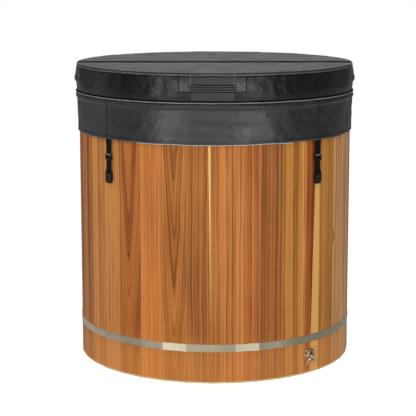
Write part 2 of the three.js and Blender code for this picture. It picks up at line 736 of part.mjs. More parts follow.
// The socket half of a side-release buckle, hung by its bar in the strap's eye, with its pocket open below.
function buckle() {
  const inner = STRAP_WIDTH / 2 + RUN_GAP;
  const outer = inner + BUCKLE_ARM;
  const top = BUCKLE_BAR_HEIGHT - BUCKLE_THROAT;
  const bottom = top - BUCKLE_BODY;
  const shoulder = bottom + BUCKLE_CHAMFER_HEIGHT;
  const toe = outer - BUCKLE_CHAMFER_WIDTH;
  const outline = new THREE.Shape([
    new THREE.Vector2(-outer, top),
    new THREE.Vector2(-outer, shoulder),
    new THREE.Vector2(-toe, bottom),
    new THREE.Vector2(toe, bottom),
    new THREE.Vector2(outer, shoulder),
    new THREE.Vector2(outer, top),
  ]);
  const body = new THREE.ExtrudeGeometry(outline, { depth: BUCKLE_THICKNESS, bevelEnabled: false })
    .rotateX(Math.PI / 2)
    .translate(0, BUCKLE_THICKNESS / 2 - SKIRT_RADIUS, 0);
  const depth = [-SKIRT_RADIUS - BUCKLE_ARM_DEPTH / 2, BUCKLE_ARM_DEPTH / 2 - SKIRT_RADIUS];
  const height = [top - WELD, BUCKLE_BAR_HEIGHT + BUCKLE_BAR_RADIUS];
  const halfPocket = BUCKLE_THICKNESS / 2 - POCKET_WALL;
  const pocket = block(
    [POCKET_WALL - toe, toe - POCKET_WALL],
    [-SKIRT_RADIUS - halfPocket, halfPocket - SKIRT_RADIUS],
    [bottom - OVERCUT, bottom + POCKET_DEPTH],
  );
  const rod = bar(
    new THREE.Vector3(-inner - WELD, -SKIRT_RADIUS, BUCKLE_BAR_HEIGHT),
    new THREE.Vector3(inner + WELD, -SKIRT_RADIUS, BUCKLE_BAR_HEIGHT),
    BUCKLE_BAR_RADIUS,
  );
  return cut(
    join(body, block([-outer, -inner], depth, height), block([inner, outer], depth, height), rod),
    pocket,
  );
}

// Assembly

const plungeTub = new THREE.Group();

function group(parent, angle) {
  const made = new THREE.Group();
  made.rotation.z = angle;
  parent.add(made);
  return made;
}

function place(parent, name, geometry, look) {
  const mesh = new THREE.Mesh(geometry, look);
  mesh.name = name;
  parent.add(mesh);
}

const staveAngle = (index) => FIRST_JOINT + HALF_PITCH + index * PITCH;
const twoDigits = (number) => String(number).padStart(2, "0");

// Staves stand alone across the front and sides, and are joined in pairs behind.
const firstStave = -Math.floor(SINGLE_STAVES / 2);
const staveRuns = [staves(1), staves(2)];
for (let i = 0, run; i < STAVE_COUNT; i += run) {
  run = i < SINGLE_STAVES ? 1 : Math.min(2, STAVE_COUNT - i);
  const index = firstStave + i;
  const shape = index === DRAIN_STAVE ? drainStave() : staveRuns[run - 1];
  const number = twoDigits(i + 1);
  const name = run === 1 ? `stave_${number}` : `staves_${number}_${twoDigits(i + run)}`;
  place(group(plungeTub, staveAngle(index) + (run - 1) * HALF_PITCH), name, shape, material.cedar);
}

const drain = group(plungeTub, staveAngle(DRAIN_STAVE));
place(drain, "tub_floor", floor(), material.floor);
place(drain, "drain_strainer", strainer(), material.chrome);
place(drain, "drain_lock_nut", lockNut(), material.brass);
place(drain, "drain_valve_body", valveBody(), material.brass);
place(drain, "drain_spindle", spindle(), material.steel);
place(drain, "drain_escutcheon", escutcheon(), material.chrome);
place(drain, "drain_cross_handle", crossHandle(), material.chrome);
place(drain, "drain_handle_cap", handleCap(), material.chrome);
place(plungeTub, "floor_joist_front", joist(), material.floor);
place(group(plungeTub, Math.PI), "floor_joist_rear", joist(), material.floor);

const hoopJoint = group(plungeTub, staveAngle(HOOP_JOINT_STAVE));
place(hoopJoint, "lower_hoop", lowerHoop(), material.steel);
place(hoopJoint, "lower_hoop_bolt", hoopBolt(), material.steel);
place(hoopJoint, "lower_hoop_nut", hoopNut(), material.steel);
place(hoopJoint, "upper_hoop", upperHoop(), material.steel);

const shell = jacket();
const core = foamCore();
const apron = skirt();
const longHandle = handle(HANDLE_LENGTH, TAB_LENGTH);
const shortHandle = handle(SIDE_HANDLE_LENGTH, SIDE_TAB_LENGTH);
for (const [half, angle] of [["front", 0], ["rear", Math.PI]]) {
  const side = group(plungeTub, angle);
  place(side, `${half}_jacket`, shell, material.vinyl);
  place(side, `${half}_foam_core`, core, material.foam);
  place(side, `${half}_skirt`, apron, material.vinyl);
  place(group(side, HANDLE_ANGLE), `${half}_handle`, longHandle, material.vinyl);
}
place(plungeTub, "fold_gusset", gusset(), material.vinyl);
place(group(plungeTub, -SIDE_HANDLE_ANGLE), "left_handle", shortHandle, material.vinyl);
place(group(plungeTub, SIDE_HANDLE_ANGLE), "right_handle", shortHandle, material.vinyl);

for (const [hand, angle] of [["left", LEFT_STRAP_ANGLE], ["right", RIGHT_STRAP_ANGLE]]) {
  const hanging = group(plungeTub, angle);
  place(hanging, `${hand}_strap`, strap(), material.webbing);
  place(hanging, `${hand}_glide`, glide(), material.plastic);
  place(hanging, `${hand}_buckle`, buckle(), material.plastic);
}

export default plungeTub;
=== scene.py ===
"""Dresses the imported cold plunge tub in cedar, steel, chrome and black vinyl, and lights it as in a studio."""

import logging
import math
from dataclasses import dataclass
from enum import Enum
from typing import Any, Callable, Iterable, Sequence, Union

import bmesh
import bpy
from bmesh.types import BMEdge, BMesh, BMFace, BMVert
from mathutils import Matrix, Vector, noise


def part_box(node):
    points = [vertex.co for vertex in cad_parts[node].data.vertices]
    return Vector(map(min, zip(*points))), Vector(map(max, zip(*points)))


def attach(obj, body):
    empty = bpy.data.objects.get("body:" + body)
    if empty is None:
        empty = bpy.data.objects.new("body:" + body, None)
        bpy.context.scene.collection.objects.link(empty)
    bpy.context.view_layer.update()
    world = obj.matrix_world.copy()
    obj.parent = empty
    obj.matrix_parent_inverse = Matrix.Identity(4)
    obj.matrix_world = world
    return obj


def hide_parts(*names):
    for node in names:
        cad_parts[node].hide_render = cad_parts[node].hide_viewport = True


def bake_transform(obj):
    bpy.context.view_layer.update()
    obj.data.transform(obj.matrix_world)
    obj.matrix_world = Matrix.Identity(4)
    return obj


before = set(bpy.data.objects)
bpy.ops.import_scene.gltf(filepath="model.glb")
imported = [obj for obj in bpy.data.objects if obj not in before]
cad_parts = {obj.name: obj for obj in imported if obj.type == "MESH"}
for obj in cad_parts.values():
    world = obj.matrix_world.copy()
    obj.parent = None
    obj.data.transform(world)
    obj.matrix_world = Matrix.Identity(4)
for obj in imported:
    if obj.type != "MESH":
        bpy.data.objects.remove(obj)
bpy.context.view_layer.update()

LOG = logging.getLogger("cold_plunge_tub")

Number = Union[float, "Socket"]
Colour = tuple[float, float, float, float]


def srgb(red: int, green: int, blue: int) -> Colour:
    """A colour as a screen shows it, in linear light.

    Args:
        red: Red, from 0 to 255.
        green: Green, from 0 to 255.
        blue: Blue, from 0 to 255.

    Returns:
        The linear colour, with full alpha.
    """
    linear = [((part / 255 + 0.055) / 1.055) ** 2.4 for part in (red, green, blue)]
    return (*linear, 1.0)


def ease(value: float) -> float:
    """A step from 0 to 1 with soft ends, as value goes from 0 to 1."""
    held = min(max(value, 0.0), 1.0)
    return held * held * (3 - 2 * held)


@dataclass(frozen=True)
class TubSizes:
    """Sizes that the dressing shares with the CAD model, in metres and radians."""

    wall_radius: float = 0.5334
    stave_count: int = 37
    single_staves: int = 21
    first_joint: float = math.radians(-1.5)
    first_stave: int = -10
    cover_bottom: float = 1.0413
    cover_top: float = 1.1448
    seam_radius: float = 0.5395
    rim_radius: float = 0.5368
    cover_swell: float = 0.0054
    cover_radius: float = 0.5445
    fold_gap: float = 0.001
    fold_round: float = 0.008
    hem: float = 0.887
    skirt_radius: float = 0.54
    skirt_top: float = 1.041

    @property
    def pitch(self) -> float:
        """Angle between two stave joints."""
        return math.tau / self.stave_count

    @property
    def wall_face(self) -> float:
        """Distance from the axis to a stave's flat face."""
        return self.wall_radius * math.cos(self.pitch / 2)

    def side_radius(self, share: float) -> float:
        """Radius of the cover's side at a share of its height."""
        straight = self.seam_radius + (self.rim_radius - self.seam_radius) * share
        return straight + self.cover_swell * math.sin(math.pi * share)

    def side_radius_at(self, height: float) -> float:
        """Radius of the cover's side at a height above the base."""
        return self.side_radius((height - self.cover_bottom) / (self.cover_top - self.cover_bottom))

    def stave_angle(self, index: int) -> float:
        """Angle of a stave's middle, counted round from the joint at the middle of the front."""
        return self.first_joint + (index + 0.5) * self.pitch


TUB = TubSizes()


class Socket:
    """A node's output that takes part in Python sums."""

    def __init__(self, graph: "Graph", link: bpy.types.NodeSocket) -> None:
        """Wrap one output.

        Args:
            graph: The graph that the output belongs to.
            link: The output itself.
        """
        self.graph = graph
        self.link = link

    def __add__(self, other: Number) -> "Socket":
        """This plus another value."""
        return self.graph.math("ADD", self, other)

    __radd__ = __add__

    def __mul__(self, other: Number) -> "Socket":
        """This times another value."""
        return self.graph.math("MULTIPLY", self, other)

    __rmul__ = __mul__

    def __sub__(self, other: Number) -> "Socket":
        """This less another value."""
        return self.graph.math("SUBTRACT", self, other)

    def __rsub__(self, other: Number) -> "Socket":
        """Another value less this."""
        return self.graph.math("SUBTRACT", other, self)

    def __truediv__(self, other: Number) -> "Socket":
        """This divided by another value."""
        return self.graph.math("DIVIDE", self, other)

    def __pow__(self, other: Number) -> "Socket":
        """This to a power."""
        return self.graph.math("POWER", self, other)

    def __neg__(self) -> "Socket":
        """This with its sign turned."""
        return self.graph.math("MULTIPLY", self, -1.0)


class Graph:
    """The shader nodes of one material or world."""

    def __init__(self, owner: bpy.types.Material | bpy.types.World) -> None:
        """Start with no nodes.

        Args:
            owner: The material or world that the nodes are for.
        """
        owner.use_nodes = True
        self.tree = owner.node_tree
        self.tree.nodes.clear()

    def add(
        self,
        kind: str,
        settings: dict[str, Any] | None = None,
        inputs: dict[str | int, Any] | None = None,
    ) -> bpy.types.Node:
        """Add one node.

        Args:
            kind: The node's type.
            settings: Its properties.
            inputs: Values or sockets for its inputs, by name or place.

        Returns:
            The node.
        """
        made = self.tree.nodes.new(kind)
        for key, value in (settings or {}).items():
            setattr(made, key, value)
        for key, value in (inputs or {}).items():
            if isinstance(value, Socket):
                self.tree.links.new(value.link, made.inputs[key])
            else:
                made.inputs[key].default_value = value
        return made

    def node(
        self,
        kind: str,
        settings: dict[str, Any] | None = None,
        inputs: dict[str | int, Any] | None = None,
        output: str | int = 0,
    ) -> Socket:
        """Add one node and take one of its outputs.

        Args:
            kind: The node's type.
            settings: Its properties.
            inputs: Values or sockets for its inputs, by name or place.
            output: The output to hand back.

        Returns:
            The chosen output.
        """
        return Socket(self, self.add(kind, settings, inputs).outputs[output])

    def math(self, operation: str, *values: Number) -> Socket:
        """One sum on values, by the name of the Math node's operation."""
        return self.node("ShaderNodeMath", {"operation": operation}, dict(enumerate(values)))

    def place(self) -> Socket:
        """The place on the object, in metres of the shared frame."""
        return self.node("ShaderNodeTexCoord", output="Object")

    def axes(self) -> tuple[Socket, Socket, Socket]:
        """The place on the object as three separate values."""
        parts = self.add("ShaderNodeSeparateXYZ", inputs={0: self.place()}).outputs
        return tuple(Socket(self, part) for part in parts)

    def vector(self, x: Number, y: Number, z: Number) -> Socket:
        """Three values as one vector."""
        return self.node("ShaderNodeCombineXYZ", inputs={0: x, 1: y, 2: z})

    def noise(self, place: Socket, scale: float, detail: float = 2.0, rough: float = 0.5) -> Socket:
        """Soft noise about one half.

        Args:
            place: Where it is read.
            scale: Waves in a metre, roughly.
            detail: How many finer layers are added.
            rough: How strong each finer layer is.

        Returns:
            The noise as a value.
        """
        return self.node(
            "ShaderNodeTexNoise",
            inputs={"Vector": place, "Scale": scale, "Detail": detail, "Roughness": rough},
        )

    def between(self, value: Socket, low: Number, high: Number) -> Socket:
        """A soft step from 0 at low to 1 at high."""
        return self.node(
            "ShaderNodeMapRange",
            {"interpolation_type": "SMOOTHSTEP"},
            {"Value": value, "From Min": low, "From Max": high},
        )

    def tint(self, share: Number, first: Colour | Socket, second: Colour | Socket) -> Socket:
        """A colour between two others."""
        return self.node(
            "ShaderNodeMix", {"data_type": "RGBA"}, {0: share, 6: first, 7: second}, output=2
        )

    def bump(self, height: Socket, depth: float, strength: float = 1.0) -> Socket:
        """A normal that is tilted by a height.

        Args:
            height: Height from 0 to 1.
            depth: What a height of 1 stands for, in metres.
            strength: How much of the tilt shows.

        Returns:
            The normal.
        """
        return self.node(
            "ShaderNodeBump", inputs={"Height": height, "Distance": depth, "Strength": strength}
        )

    def surface(self, inputs: dict[str, Any]) -> None:
        """Close the graph with a principled surface.

        Args:
            inputs: Values or sockets for the surface's inputs.
        """
        self.close(self.node("ShaderNodeBsdfPrincipled", inputs=inputs))

    def close(self, shader: Socket, kind: str = "ShaderNodeOutputMaterial") -> None:
        """Send a shader to the graph's output."""
        self.add(kind, inputs={"Surface": shader})


@dataclass(frozen=True)
class Finish:
    """A surface finish, made into a material on first use."""

    name: str

    def paint(self, graph: Graph) -> dict[str, Any]:
        """Work out the surface.

        Args:
            graph: The graph to add nodes to.

        Returns:
            Values or sockets for a principled surface.
        """
        raise NotImplementedError

    def material(self) -> bpy.types.Material:
        """The finish's material."""
        found = bpy.data.materials.get(self.name)
        if found is None:
            found = bpy.data.materials.new(self.name)
            graph = Graph(found)
            graph.surface(self.paint(graph))
        return found


@dataclass(frozen=True)
class Sawing:
    """Where a board lay in its log, and its colours.

    Attributes:
        light: Colour of the early wood.
        dark: Colour of the late wood and of dark streaks.
        pith: Sideways distance from the board's middle to the log's heart, in metres.
        depth: Distance from the board's face back to the log's heart, in metres.
        slope: How far the rings run out over a metre of length.
        ring: Width of a year's ring, in metres.
        streak: How strong the broad streaks are.
        curl: How strong the ripples across the grain are.
    """

    light: Colour
    dark: Colour
    pith: float = 0.3
    depth: float = 0.05
    slope: float = 0.0
    ring: float = 0.0042
    streak: float = 0.6
    curl: float = 0.0


class Board(Enum):
    """The cedar boards that the staves were picked from."""

    HONEY = Sawing(srgb(206, 138, 72), srgb(140, 72, 26), pith=0.26, streak=0.6)
    AMBER = Sawing(srgb(206, 128, 60), srgb(136, 66, 20), pith=0.34, streak=0.6)
    RUSSET = Sawing(srgb(202, 128, 60), srgb(124, 60, 18), pith=0.22, ring=0.006, streak=0.7)
    UMBER = Sawing(srgb(182, 114, 53), srgb(106, 56, 16), pith=-0.28, ring=0.007, streak=0.8)
    OLIVE = Sawing(srgb(200, 134, 60), srgb(132, 78, 22), pith=0.4, ring=0.006, streak=0.8)
    FLAME = Sawing(
        srgb(184, 108, 48), srgb(112, 52, 16), pith=-0.008, depth=0.008, slope=-0.075, ring=0.0055, streak=0.8
    )
    VEINED = Sawing(
        srgb(198, 124, 54), srgb(126, 68, 20), pith=-0.006, depth=0.012, slope=-0.05, ring=0.01, streak=0.7
    )
    CURLY = Sawing(srgb(172, 106, 50), srgb(120, 66, 24), pith=0.3, streak=0.6, curl=0.5)
    MIXED = Sawing(srgb(220, 138, 64), srgb(124, 54, 14), pith=-0.12, ring=0.012, streak=1.0)
    PALE = Sawing(srgb(222, 168, 112), srgb(160, 100, 54), pith=0.26, streak=0.6)


@dataclass(frozen=True)
class PaleStrip:
    """A strip of sapwood along one edge of a stave.

    Attributes:
        side: 1 for the right edge seen from outside, -1 for the left.
        top: Where the strip starts at the stave's top, from its middle towards that edge, in metres.
        bottom: The same at the stave's foot.
        colour: The strip's colour.
    """

    side: int
    top: float
    bottom: float
    colour: Colour = srgb(226, 176, 98)


@dataclass(frozen=True)
class Cedar(Finish):
    """Oiled red cedar, cut from a log with rings, streaks and fine fibre."""

    board: Board = Board.AMBER
    seed: float = 0.0
    strips: tuple[PaleStrip, ...] = ()
    knot: tuple[float, float] | None = None

    def lie(self, graph: Graph) -> tuple[Socket, Socket, Socket, Number]:
        """Where a point lies in its board: across, depth from the face, along, and the board's number."""
        raise NotImplementedError

    def paint(self, graph: Graph) -> dict[str, Any]:
        """Work out the wood's surface."""
        across, depth, along, number = self.lie(graph)
        sawing: Sawing = self.board.value
        pick = graph.node(
            "ShaderNodeTexWhiteNoise", {"noise_dimensions": "1D"}, {"W": number + self.seed}
        )
        shift = pick * 30.0
        lazy = graph.noise(graph.vector(across * 3.0, depth * 3.0, along * 0.9 + shift), 1.0, 2.0) - 0.5
        busy = graph.noise(graph.vector(across * 16.0, depth * 16.0, along * 4.0 + shift), 1.0, 2.0) - 0.5
        wander = lazy * 0.03 + busy * 0.011
        side = across - (pick - 0.5) * 0.02 - sawing.pith + wander
        back = depth + sawing.depth + wander
        reach = graph.math("SQRT", side * side + back * back) + along * sawing.slope
        if self.knot:
            from_knot = graph.math(
                "SQRT", (across - self.knot[0]) ** 2.0 + ((along - self.knot[1]) * 0.45) ** 2.0
            )
            reach = reach + (1.0 - graph.between(from_knot, 0.002, 0.022)) * 0.02
        rings = reach / sawing.ring
        broad = graph.noise(graph.vector(rings * 0.23, shift, 0.0), 1.0, 2.0, 0.6)
        fine = graph.noise(graph.vector(rings * 1.1, shift, along * 0.6), 1.0, 3.0, 0.6)
        late = graph.math("FRACT", rings + fine) ** 3.0
        fibre = graph.noise(graph.vector(across * 700.0, depth * 700.0, along * 6.0), 1.0, 2.0)
        cloud = graph.noise(graph.vector(across * 9.0, shift, along * 2.2), 1.0, 2.0)
        thread = graph.noise(graph.vector(rings * 0.6, shift, along * 0.35), 1.0, 2.0, 0.6)
        streak = graph.between(broad, 0.4, 0.62) * sawing.streak
        shade = streak * 0.6 + late * 0.3 + (fine - 0.5) * 1.3 + (thread - 0.5) * 1.2 + (fibre - 0.5) * 0.8
        shade = (shade + (cloud - 0.5) * 0.7 + (pick - 0.5) * 0.2 - 0.28) * 1.5 + 0.36
        if sawing.curl:
            ripple = graph.noise(graph.vector(across * 30.0, shift, along * 130.0), 1.0, 2.0)
            shade = shade + (ripple - 0.5) * sawing.curl
        colour = graph.tint(graph.math("MINIMUM", graph.math("MAXIMUM", shade, 0.0), 1.0), sawing.light, sawing.dark)
        for strip in self.strips:
            edge = strip.bottom + along * ((strip.top - strip.bottom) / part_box("stave_01")[1].z)
            inside = graph.between(across * strip.side - edge + lazy * 0.006, 0.0, 0.0025)
            pale = graph.tint(late * 0.3 + (fibre - 0.3) * 0.3, strip.colour, sawing.light)
            colour = graph.tint(inside, colour, pale)
        if self.knot:
            ring = graph.between(from_knot, 0.0035, 0.005) * (1.0 - graph.between(from_knot, 0.006, 0.009))
            colour = graph.tint(ring * 0.85, colour, srgb(58, 26, 12))
            heart = 1.0 - graph.between(from_knot, 0.002, 0.0045)
            colour = graph.tint(heart, colour, srgb(190, 150, 120))
        relief = fibre * 0.6 + late * 0.4
        return {
            "Base Color": colour,
            "Roughness": 0.52 + (fibre - 0.5) * 0.2 + streak * 0.06,
            "Normal": graph.bump(relief, 0.0004, 0.35),
            "Specular IOR Level": 0.2,
        }


@dataclass(frozen=True)
class CedarStave(Cedar):
    """Cedar that stands as a stave in the tub's wall."""

    def lie(self, graph: Graph) -> tuple[Socket, Socket, Socket, Number]:
        """Where a point lies in its stave."""
        x, y, z = graph.axes()
        turn = (graph.math("ARCTAN2", x, -y) - TUB.first_joint) / TUB.pitch
        index = graph.math("FLOOR", turn)
        swing = (turn - index - 0.5) * TUB.pitch
        radius = graph.math("SQRT", x * x + y * y)
        across = radius * graph.math("SINE", swing)
        depth = radius * graph.math("COSINE", swing) - TUB.wall_face
        number = graph.math("WRAP", index, float(TUB.stave_count), 0.0)
        return across, depth, z, number

    def paint(self, graph: Graph) -> dict[str, Any]:
        """Work out a stave's surface, with grime in its joints, a painted highlight along its left edge, painted
        light on its lower part and a pale painted highlight along its foot.
        """
        made = super().paint(graph)
        across, _, along, _ = self.lie(graph)
        half = TUB.wall_face * math.tan(TUB.pitch / 2)
        # Painted highlight: each stave's left edge is lightened where its chamfer catches the light.
        wear_and_highlight = graph.between(-across, half - 0.0045, half - 0.0015)
        colour = graph.tint(wear_and_highlight * 0.55, made["Base Color"], srgb(240, 168, 90))
        joint = graph.between(graph.math("ABSOLUTE", across), half - 0.0014, half - 0.0004)
        colour = graph.tint(joint * 0.5, colour, srgb(84, 44, 20))
        # Painted light: the lower part of each stave is lightened, as more light reaches it there.
        low = 1.0 - graph.between(along, 0.05, 0.2)
        colour = graph.tint(low * 0.3, colour, srgb(236, 156, 82))
        # Painted highlight: a pale line along each stave's foot, where its lower edge catches the light.
        foot = 1.0 - graph.between(along, 0.0052, 0.0072)
        made["Base Color"] = graph.tint(foot, colour, srgb(214, 198, 156))
        return made


@dataclass(frozen=True)
class CedarPlank(Cedar):
    """Cedar that lies as floor boards or joists, with its length along X."""

    width: float = 0.09

    def lie(self, graph: Graph) -> tuple[Socket, Socket, Socket, Number]:
        """Where a point lies in its plank."""
        x, y, z = graph.axes()
        turn = y / self.width
        number = graph.math("FLOOR", turn)
        return (turn - number - 0.5) * self.width, z - 0.15, x, number

    def paint(self, graph: Graph) -> dict[str, Any]:
        """Work out the planks' surface, with a dark line where two meet."""
        made = super().paint(graph)
        across = graph.math("ABSOLUTE", self.lie(graph)[0])
        joint = graph.between(across, self.width / 2 - 0.0014, self.width / 2 - 0.0004)
        made["Base Color"] = graph.tint(joint, made["Base Color"], srgb(60, 32, 14))
        return made


@dataclass(frozen=True)
class BrushedSteel(Finish):
    """Stainless band with brush marks along its length and a little tarnish."""

    colour: Colour = srgb(196, 185, 162)
    rough: float = 0.32

    def paint(self, graph: Graph) -> dict[str, Any]:
        """Work out the steel's surface."""
        x, y, z = graph.axes()
        around = graph.math("ARCTAN2", x, -y) * TUB.wall_radius
        brush = graph.noise(graph.vector(around * 14.0, 0.0, z * 3200.0), 1.0, 3.0, 0.7)
        patch = graph.noise(graph.place(), 3.5, 3.0)
        stain = graph.between(patch, 0.42, 0.62)
        return {
            "Base Color": graph.tint(stain * 0.5, self.colour, srgb(138, 138, 114)),
            "Metallic": 1.0,
            "Roughness": self.rough + (brush - 0.5) * 0.22 + stain * 0.08,
            "Anisotropic": 0.8,
            "Anisotropic Rotation": 0.25,
            "Normal": graph.bump(brush, 0.00012, 0.3),
        }


@dataclass(frozen=True)
class Polished(Finish):
    """Polished or cast metal with smudges and fine marks."""

    colour: Colour = srgb(226, 226, 228)
    rough: float = 0.06
    grain: float = 0.00002

    def paint(self, graph: Graph) -> dict[str, Any]:
        """Work out the metal's surface."""
        place = graph.place()
        smudge = graph.between(graph.noise(place, 60.0, 3.0), 0.45, 0.75)
        mark = graph.noise(place, 900.0, 2.0)
        return {
            "Base Color": graph.tint(smudge * 0.25, self.colour, srgb(150, 145, 138)),
            "Metallic": 1.0,
            "Roughness": self.rough + smudge * 0.1,
            "Normal": graph.bump(mark, self.grain, 0.4),
        }


@dataclass(frozen=True)
class Vinyl(Finish):
    """Black coated cloth with a fine leather grain and cloudy gloss."""

    dark: Colour = srgb(9, 9, 10)
    light: Colour = srgb(18, 18, 19)
    rough: float = 0.3
    shine: float = 0.35
    grain: float = 0.0002

    def paint(self, graph: Graph) -> dict[str, Any]:
        """Work out the vinyl's surface."""
        place = graph.place()
        warp = graph.noise(place, 320.0, 2.0)
        cell = graph.node(
            "ShaderNodeTexVoronoi", {"feature": "SMOOTH_F1"}, {"Vector": place, "Scale": 760.0, "Smoothness": 0.7}
        )
        cloud = graph.noise(place, 13.0, 3.0, 0.6)
        crease = graph.noise(place, 75.0, 3.0, 0.55)
        pebble = graph.noise(place, 210.0, 2.0)
        dimple = graph.noise(place, 28.0, 3.0)
        relief = cell * 0.5 + warp * 0.3 + pebble * 2.6 + crease * 6.5 + dimple * 8.0
        return {
            "Base Color": graph.tint(cloud, self.dark, self.light),
            "Roughness": self.rough + (cloud - 0.5) * 0.3 + cell * 0.08,
            "Normal": graph.bump(relief, self.grain, 0.7),
            "Specular IOR Level": self.shine,
        }


@dataclass(frozen=True)
class Woven(Finish):
    """Black webbing with ribs across it, for a strap that faces one side of the tub."""

    angle: float = 0.0

    def paint(self, graph: Graph) -> dict[str, Any]:
        """Work out the webbing's surface."""
        x, y, z = graph.axes()
        across = x * math.cos(self.angle) + y * math.sin(self.angle)
        warp = graph.math("SINE", across * (math.tau / 0.0026)) * 0.5 + 0.5
        weft = graph.math("SINE", z * (math.tau / 0.0016)) * 0.5 + 0.5
        fuzz = graph.noise(graph.place(), 1800.0, 2.0)
        rib = warp * 0.6 + weft * 0.4
        return {
            "Base Color": graph.tint(rib * 0.6 + fuzz * 0.4, srgb(5, 5, 6), srgb(20, 20, 21)),
            "Roughness": 0.62 + fuzz * 0.25,
            "Normal": graph.bump(rib * 0.8 + fuzz * 0.2, 0.0004, 0.7),
            "Specular IOR Level": 0.12,
        }


@dataclass(frozen=True)
class Moulded(Finish):
    """Black moulded plastic with a satin skin."""

    colour: Colour = srgb(9, 9, 10)
    rough: float = 0.4
    wear_and_highlight: Colour = srgb(18, 18, 19)
    shine: float = 0.3

    def paint(self, graph: Graph) -> dict[str, Any]:
        """Work out the plastic's surface."""
        place = graph.place()
        skin = graph.noise(place, 1500.0, 2.0)
        wear = graph.noise(place, 90.0, 2.0)
        return {
            "Base Color": graph.tint(wear * 0.5, self.colour, self.wear_and_highlight),
            "Roughness": self.rough + wear * 0.12,
            "Normal": graph.bump(skin, 0.00008, 0.5),
            "Specular IOR Level": self.shine,
        }


@dataclass(frozen=True)
class Beaded(Finish):
    """White expanded foam whose beads show."""

    def paint(self, graph: Graph) -> dict[str, Any]:
        """Work out the foam's surface."""
        bead = graph.node("ShaderNodeTexVoronoi", inputs={"Vector": graph.place(), "Scale": 260.0})
        return {
            "Base Color": graph.tint(bead, srgb(238, 238, 233), srgb(214, 214, 208)),
            "Roughness": 0.85 + bead * 0.1,
            "Normal": graph.bump(1.0 - bead, 0.0006, 0.6),
        }


CHROME = Polished("chrome_plate", srgb(196, 190, 184))
# The rose's warm brown colour is a painted reflection of the cedar in its polished chrome.
ROSE_CHROME_PAINTED_REFLECTION = Polished("rose_chrome_painted_reflection", srgb(196, 146, 98), 0.1)
BRASS = Polished("valve_brass", srgb(190, 150, 84), 0.28, 0.0001)
STEEL = BrushedSteel("brushed_steel")
VINYL = Vinyl("black_vinyl")
SKIRT_VINYL = Vinyl("skirt_vinyl", srgb(18, 18, 19), srgb(32, 32, 33), 0.36, 0.62)
# The top panel's vinyl is lighter and bluer than the side's: partly a charcoal panel, partly painted sheen from the
# light above.
TOP_VINYL_WITH_SHEEN = Vinyl("cover_top_vinyl_painted_sheen", srgb(30, 29, 37), srgb(48, 47, 57), 0.3, 0.35)
# Piping and welts are lighter grey than the black vinyl: partly a grey trim, partly a painted highlight where their
# rounded edges catch the light.
PIPING_AND_HIGHLIGHT = Vinyl("piping_vinyl_and_highlight", srgb(60, 60, 61), srgb(86, 86, 87), 0.28, 0.6)
WELT_AND_HIGHLIGHT = Vinyl("welt_vinyl_and_highlight", srgb(104, 104, 105), srgb(138, 138, 139), 0.28, 0.6)
THREAD = Moulded("sewing_thread", srgb(150, 150, 150), 0.55, srgb(120, 120, 120))
# Black cords in this finish are thread, and also painted shade along seams, ribs and tab outlines.
DARK_THREAD_AND_SHADE = Moulded("dark_thread_and_shade", srgb(3, 3, 3), 0.9, srgb(5, 5, 5), 0.05)
BACKING = Moulded("skirt_backing", srgb(226, 226, 222), 0.8, srgb(190, 190, 186))
PLASTIC = Moulded("moulded_plastic")
# Painted highlight: a light grey copy of the black plastic for the slide's upper front bar.
SLIDE_BAR_HIGHLIGHT = Moulded("slide_bar_painted_highlight", srgb(104, 105, 108), 0.2, srgb(70, 70, 72))
FOAM = Beaded("foam_beads")


def dress(node: str, finish: Finish) -> None:
    """Give a CAD node a finish.

    Args:
        node: The node's name.
        finish: The finish.
    """
    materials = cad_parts[node].data.materials
    materials.clear()
    materials.append(finish.material())
    LOG.info("dressed %s in %s", node, finish.name)


def make_piece(
    name: str,
    bm: BMesh,
    finish: Finish,
    body: str | None = None,
    replaces: Sequence[str] = (),
    crease: float = 40.0,
) -> bpy.types.Object:
    """Turn a finished mesh into a piece of the object.

    Args:
        name: The piece's name.
        bm: Its mesh, in the shared frame, which is used up.
        finish: Its finish.
        body: The CAD body that it rides on, or none.
        replaces: The CAD nodes that it stands for.
        crease: Angle in degrees above which an edge stays sharp.

    Returns:
        The piece.
    """
    mesh = bpy.data.meshes.new(name)
    bm.to_mesh(mesh)
    bm.free()
    mesh.polygons.foreach_set("use_smooth", [True] * len(mesh.polygons))
    mesh.set_sharp_from_angle(angle=math.radians(crease))
    mesh.materials.append(finish.material())
    piece = bpy.data.objects.new(name, mesh)
    bpy.context.scene.collection.objects.link(piece)
    if body:
        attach(piece, body)
    if replaces:
        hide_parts(*replaces)
    LOG.info("made %s with %d faces", name, len(mesh.polygons))
    return piece


def slab(columns: int, rows: int, layers: int = 1) -> BMesh:
    """A closed flat block of unit size: x and y from -1 to 1, z from 0 to 1.

    Args:
        columns: Cells along x.
        rows: Cells along y.
        layers: Cells along z on the walls.

    Returns:
        The block.
    """
    bm = bmesh.new()
    bmesh.ops.create_grid(bm, x_segments=columns, y_segments=rows, size=1.0)
    made = bmesh.ops.extrude_face_region(bm, geom=bm.faces[:], use_keep_orig=True)
    top = [part for part in made["geom"] if isinstance(part, BMVert)]
    bmesh.ops.translate(bm, verts=top, vec=(0.0, 0.0, 1.0))
    if layers > 1:
        walls = [edge for edge in bm.edges if abs(edge.verts[0].co.z - edge.verts[1].co.z) > 0.5]
        bmesh.ops.subdivide_edges(bm, edges=walls, cuts=layers - 1, use_grid_fill=True)
    bmesh.ops.recalc_face_normals(bm, faces=bm.faces[:])
    return bm


def shape(bm: BMesh, move: Callable[[Vector], Vector]) -> BMesh:
    """Move each corner of a mesh.

    Args:
        bm: The mesh.
        move: Gives a corner's new place from its old one.

    Returns:
        The same mesh, with its faces outwards.
    """
    for vert in bm.verts:
        vert.co = move(vert.co)
    bmesh.ops.recalc_face_normals(bm, faces=bm.faces[:])
    if bm.calc_volume(signed=True) < 0.0:
        bmesh.ops.reverse_faces(bm, faces=bm.faces[:])
    return bm


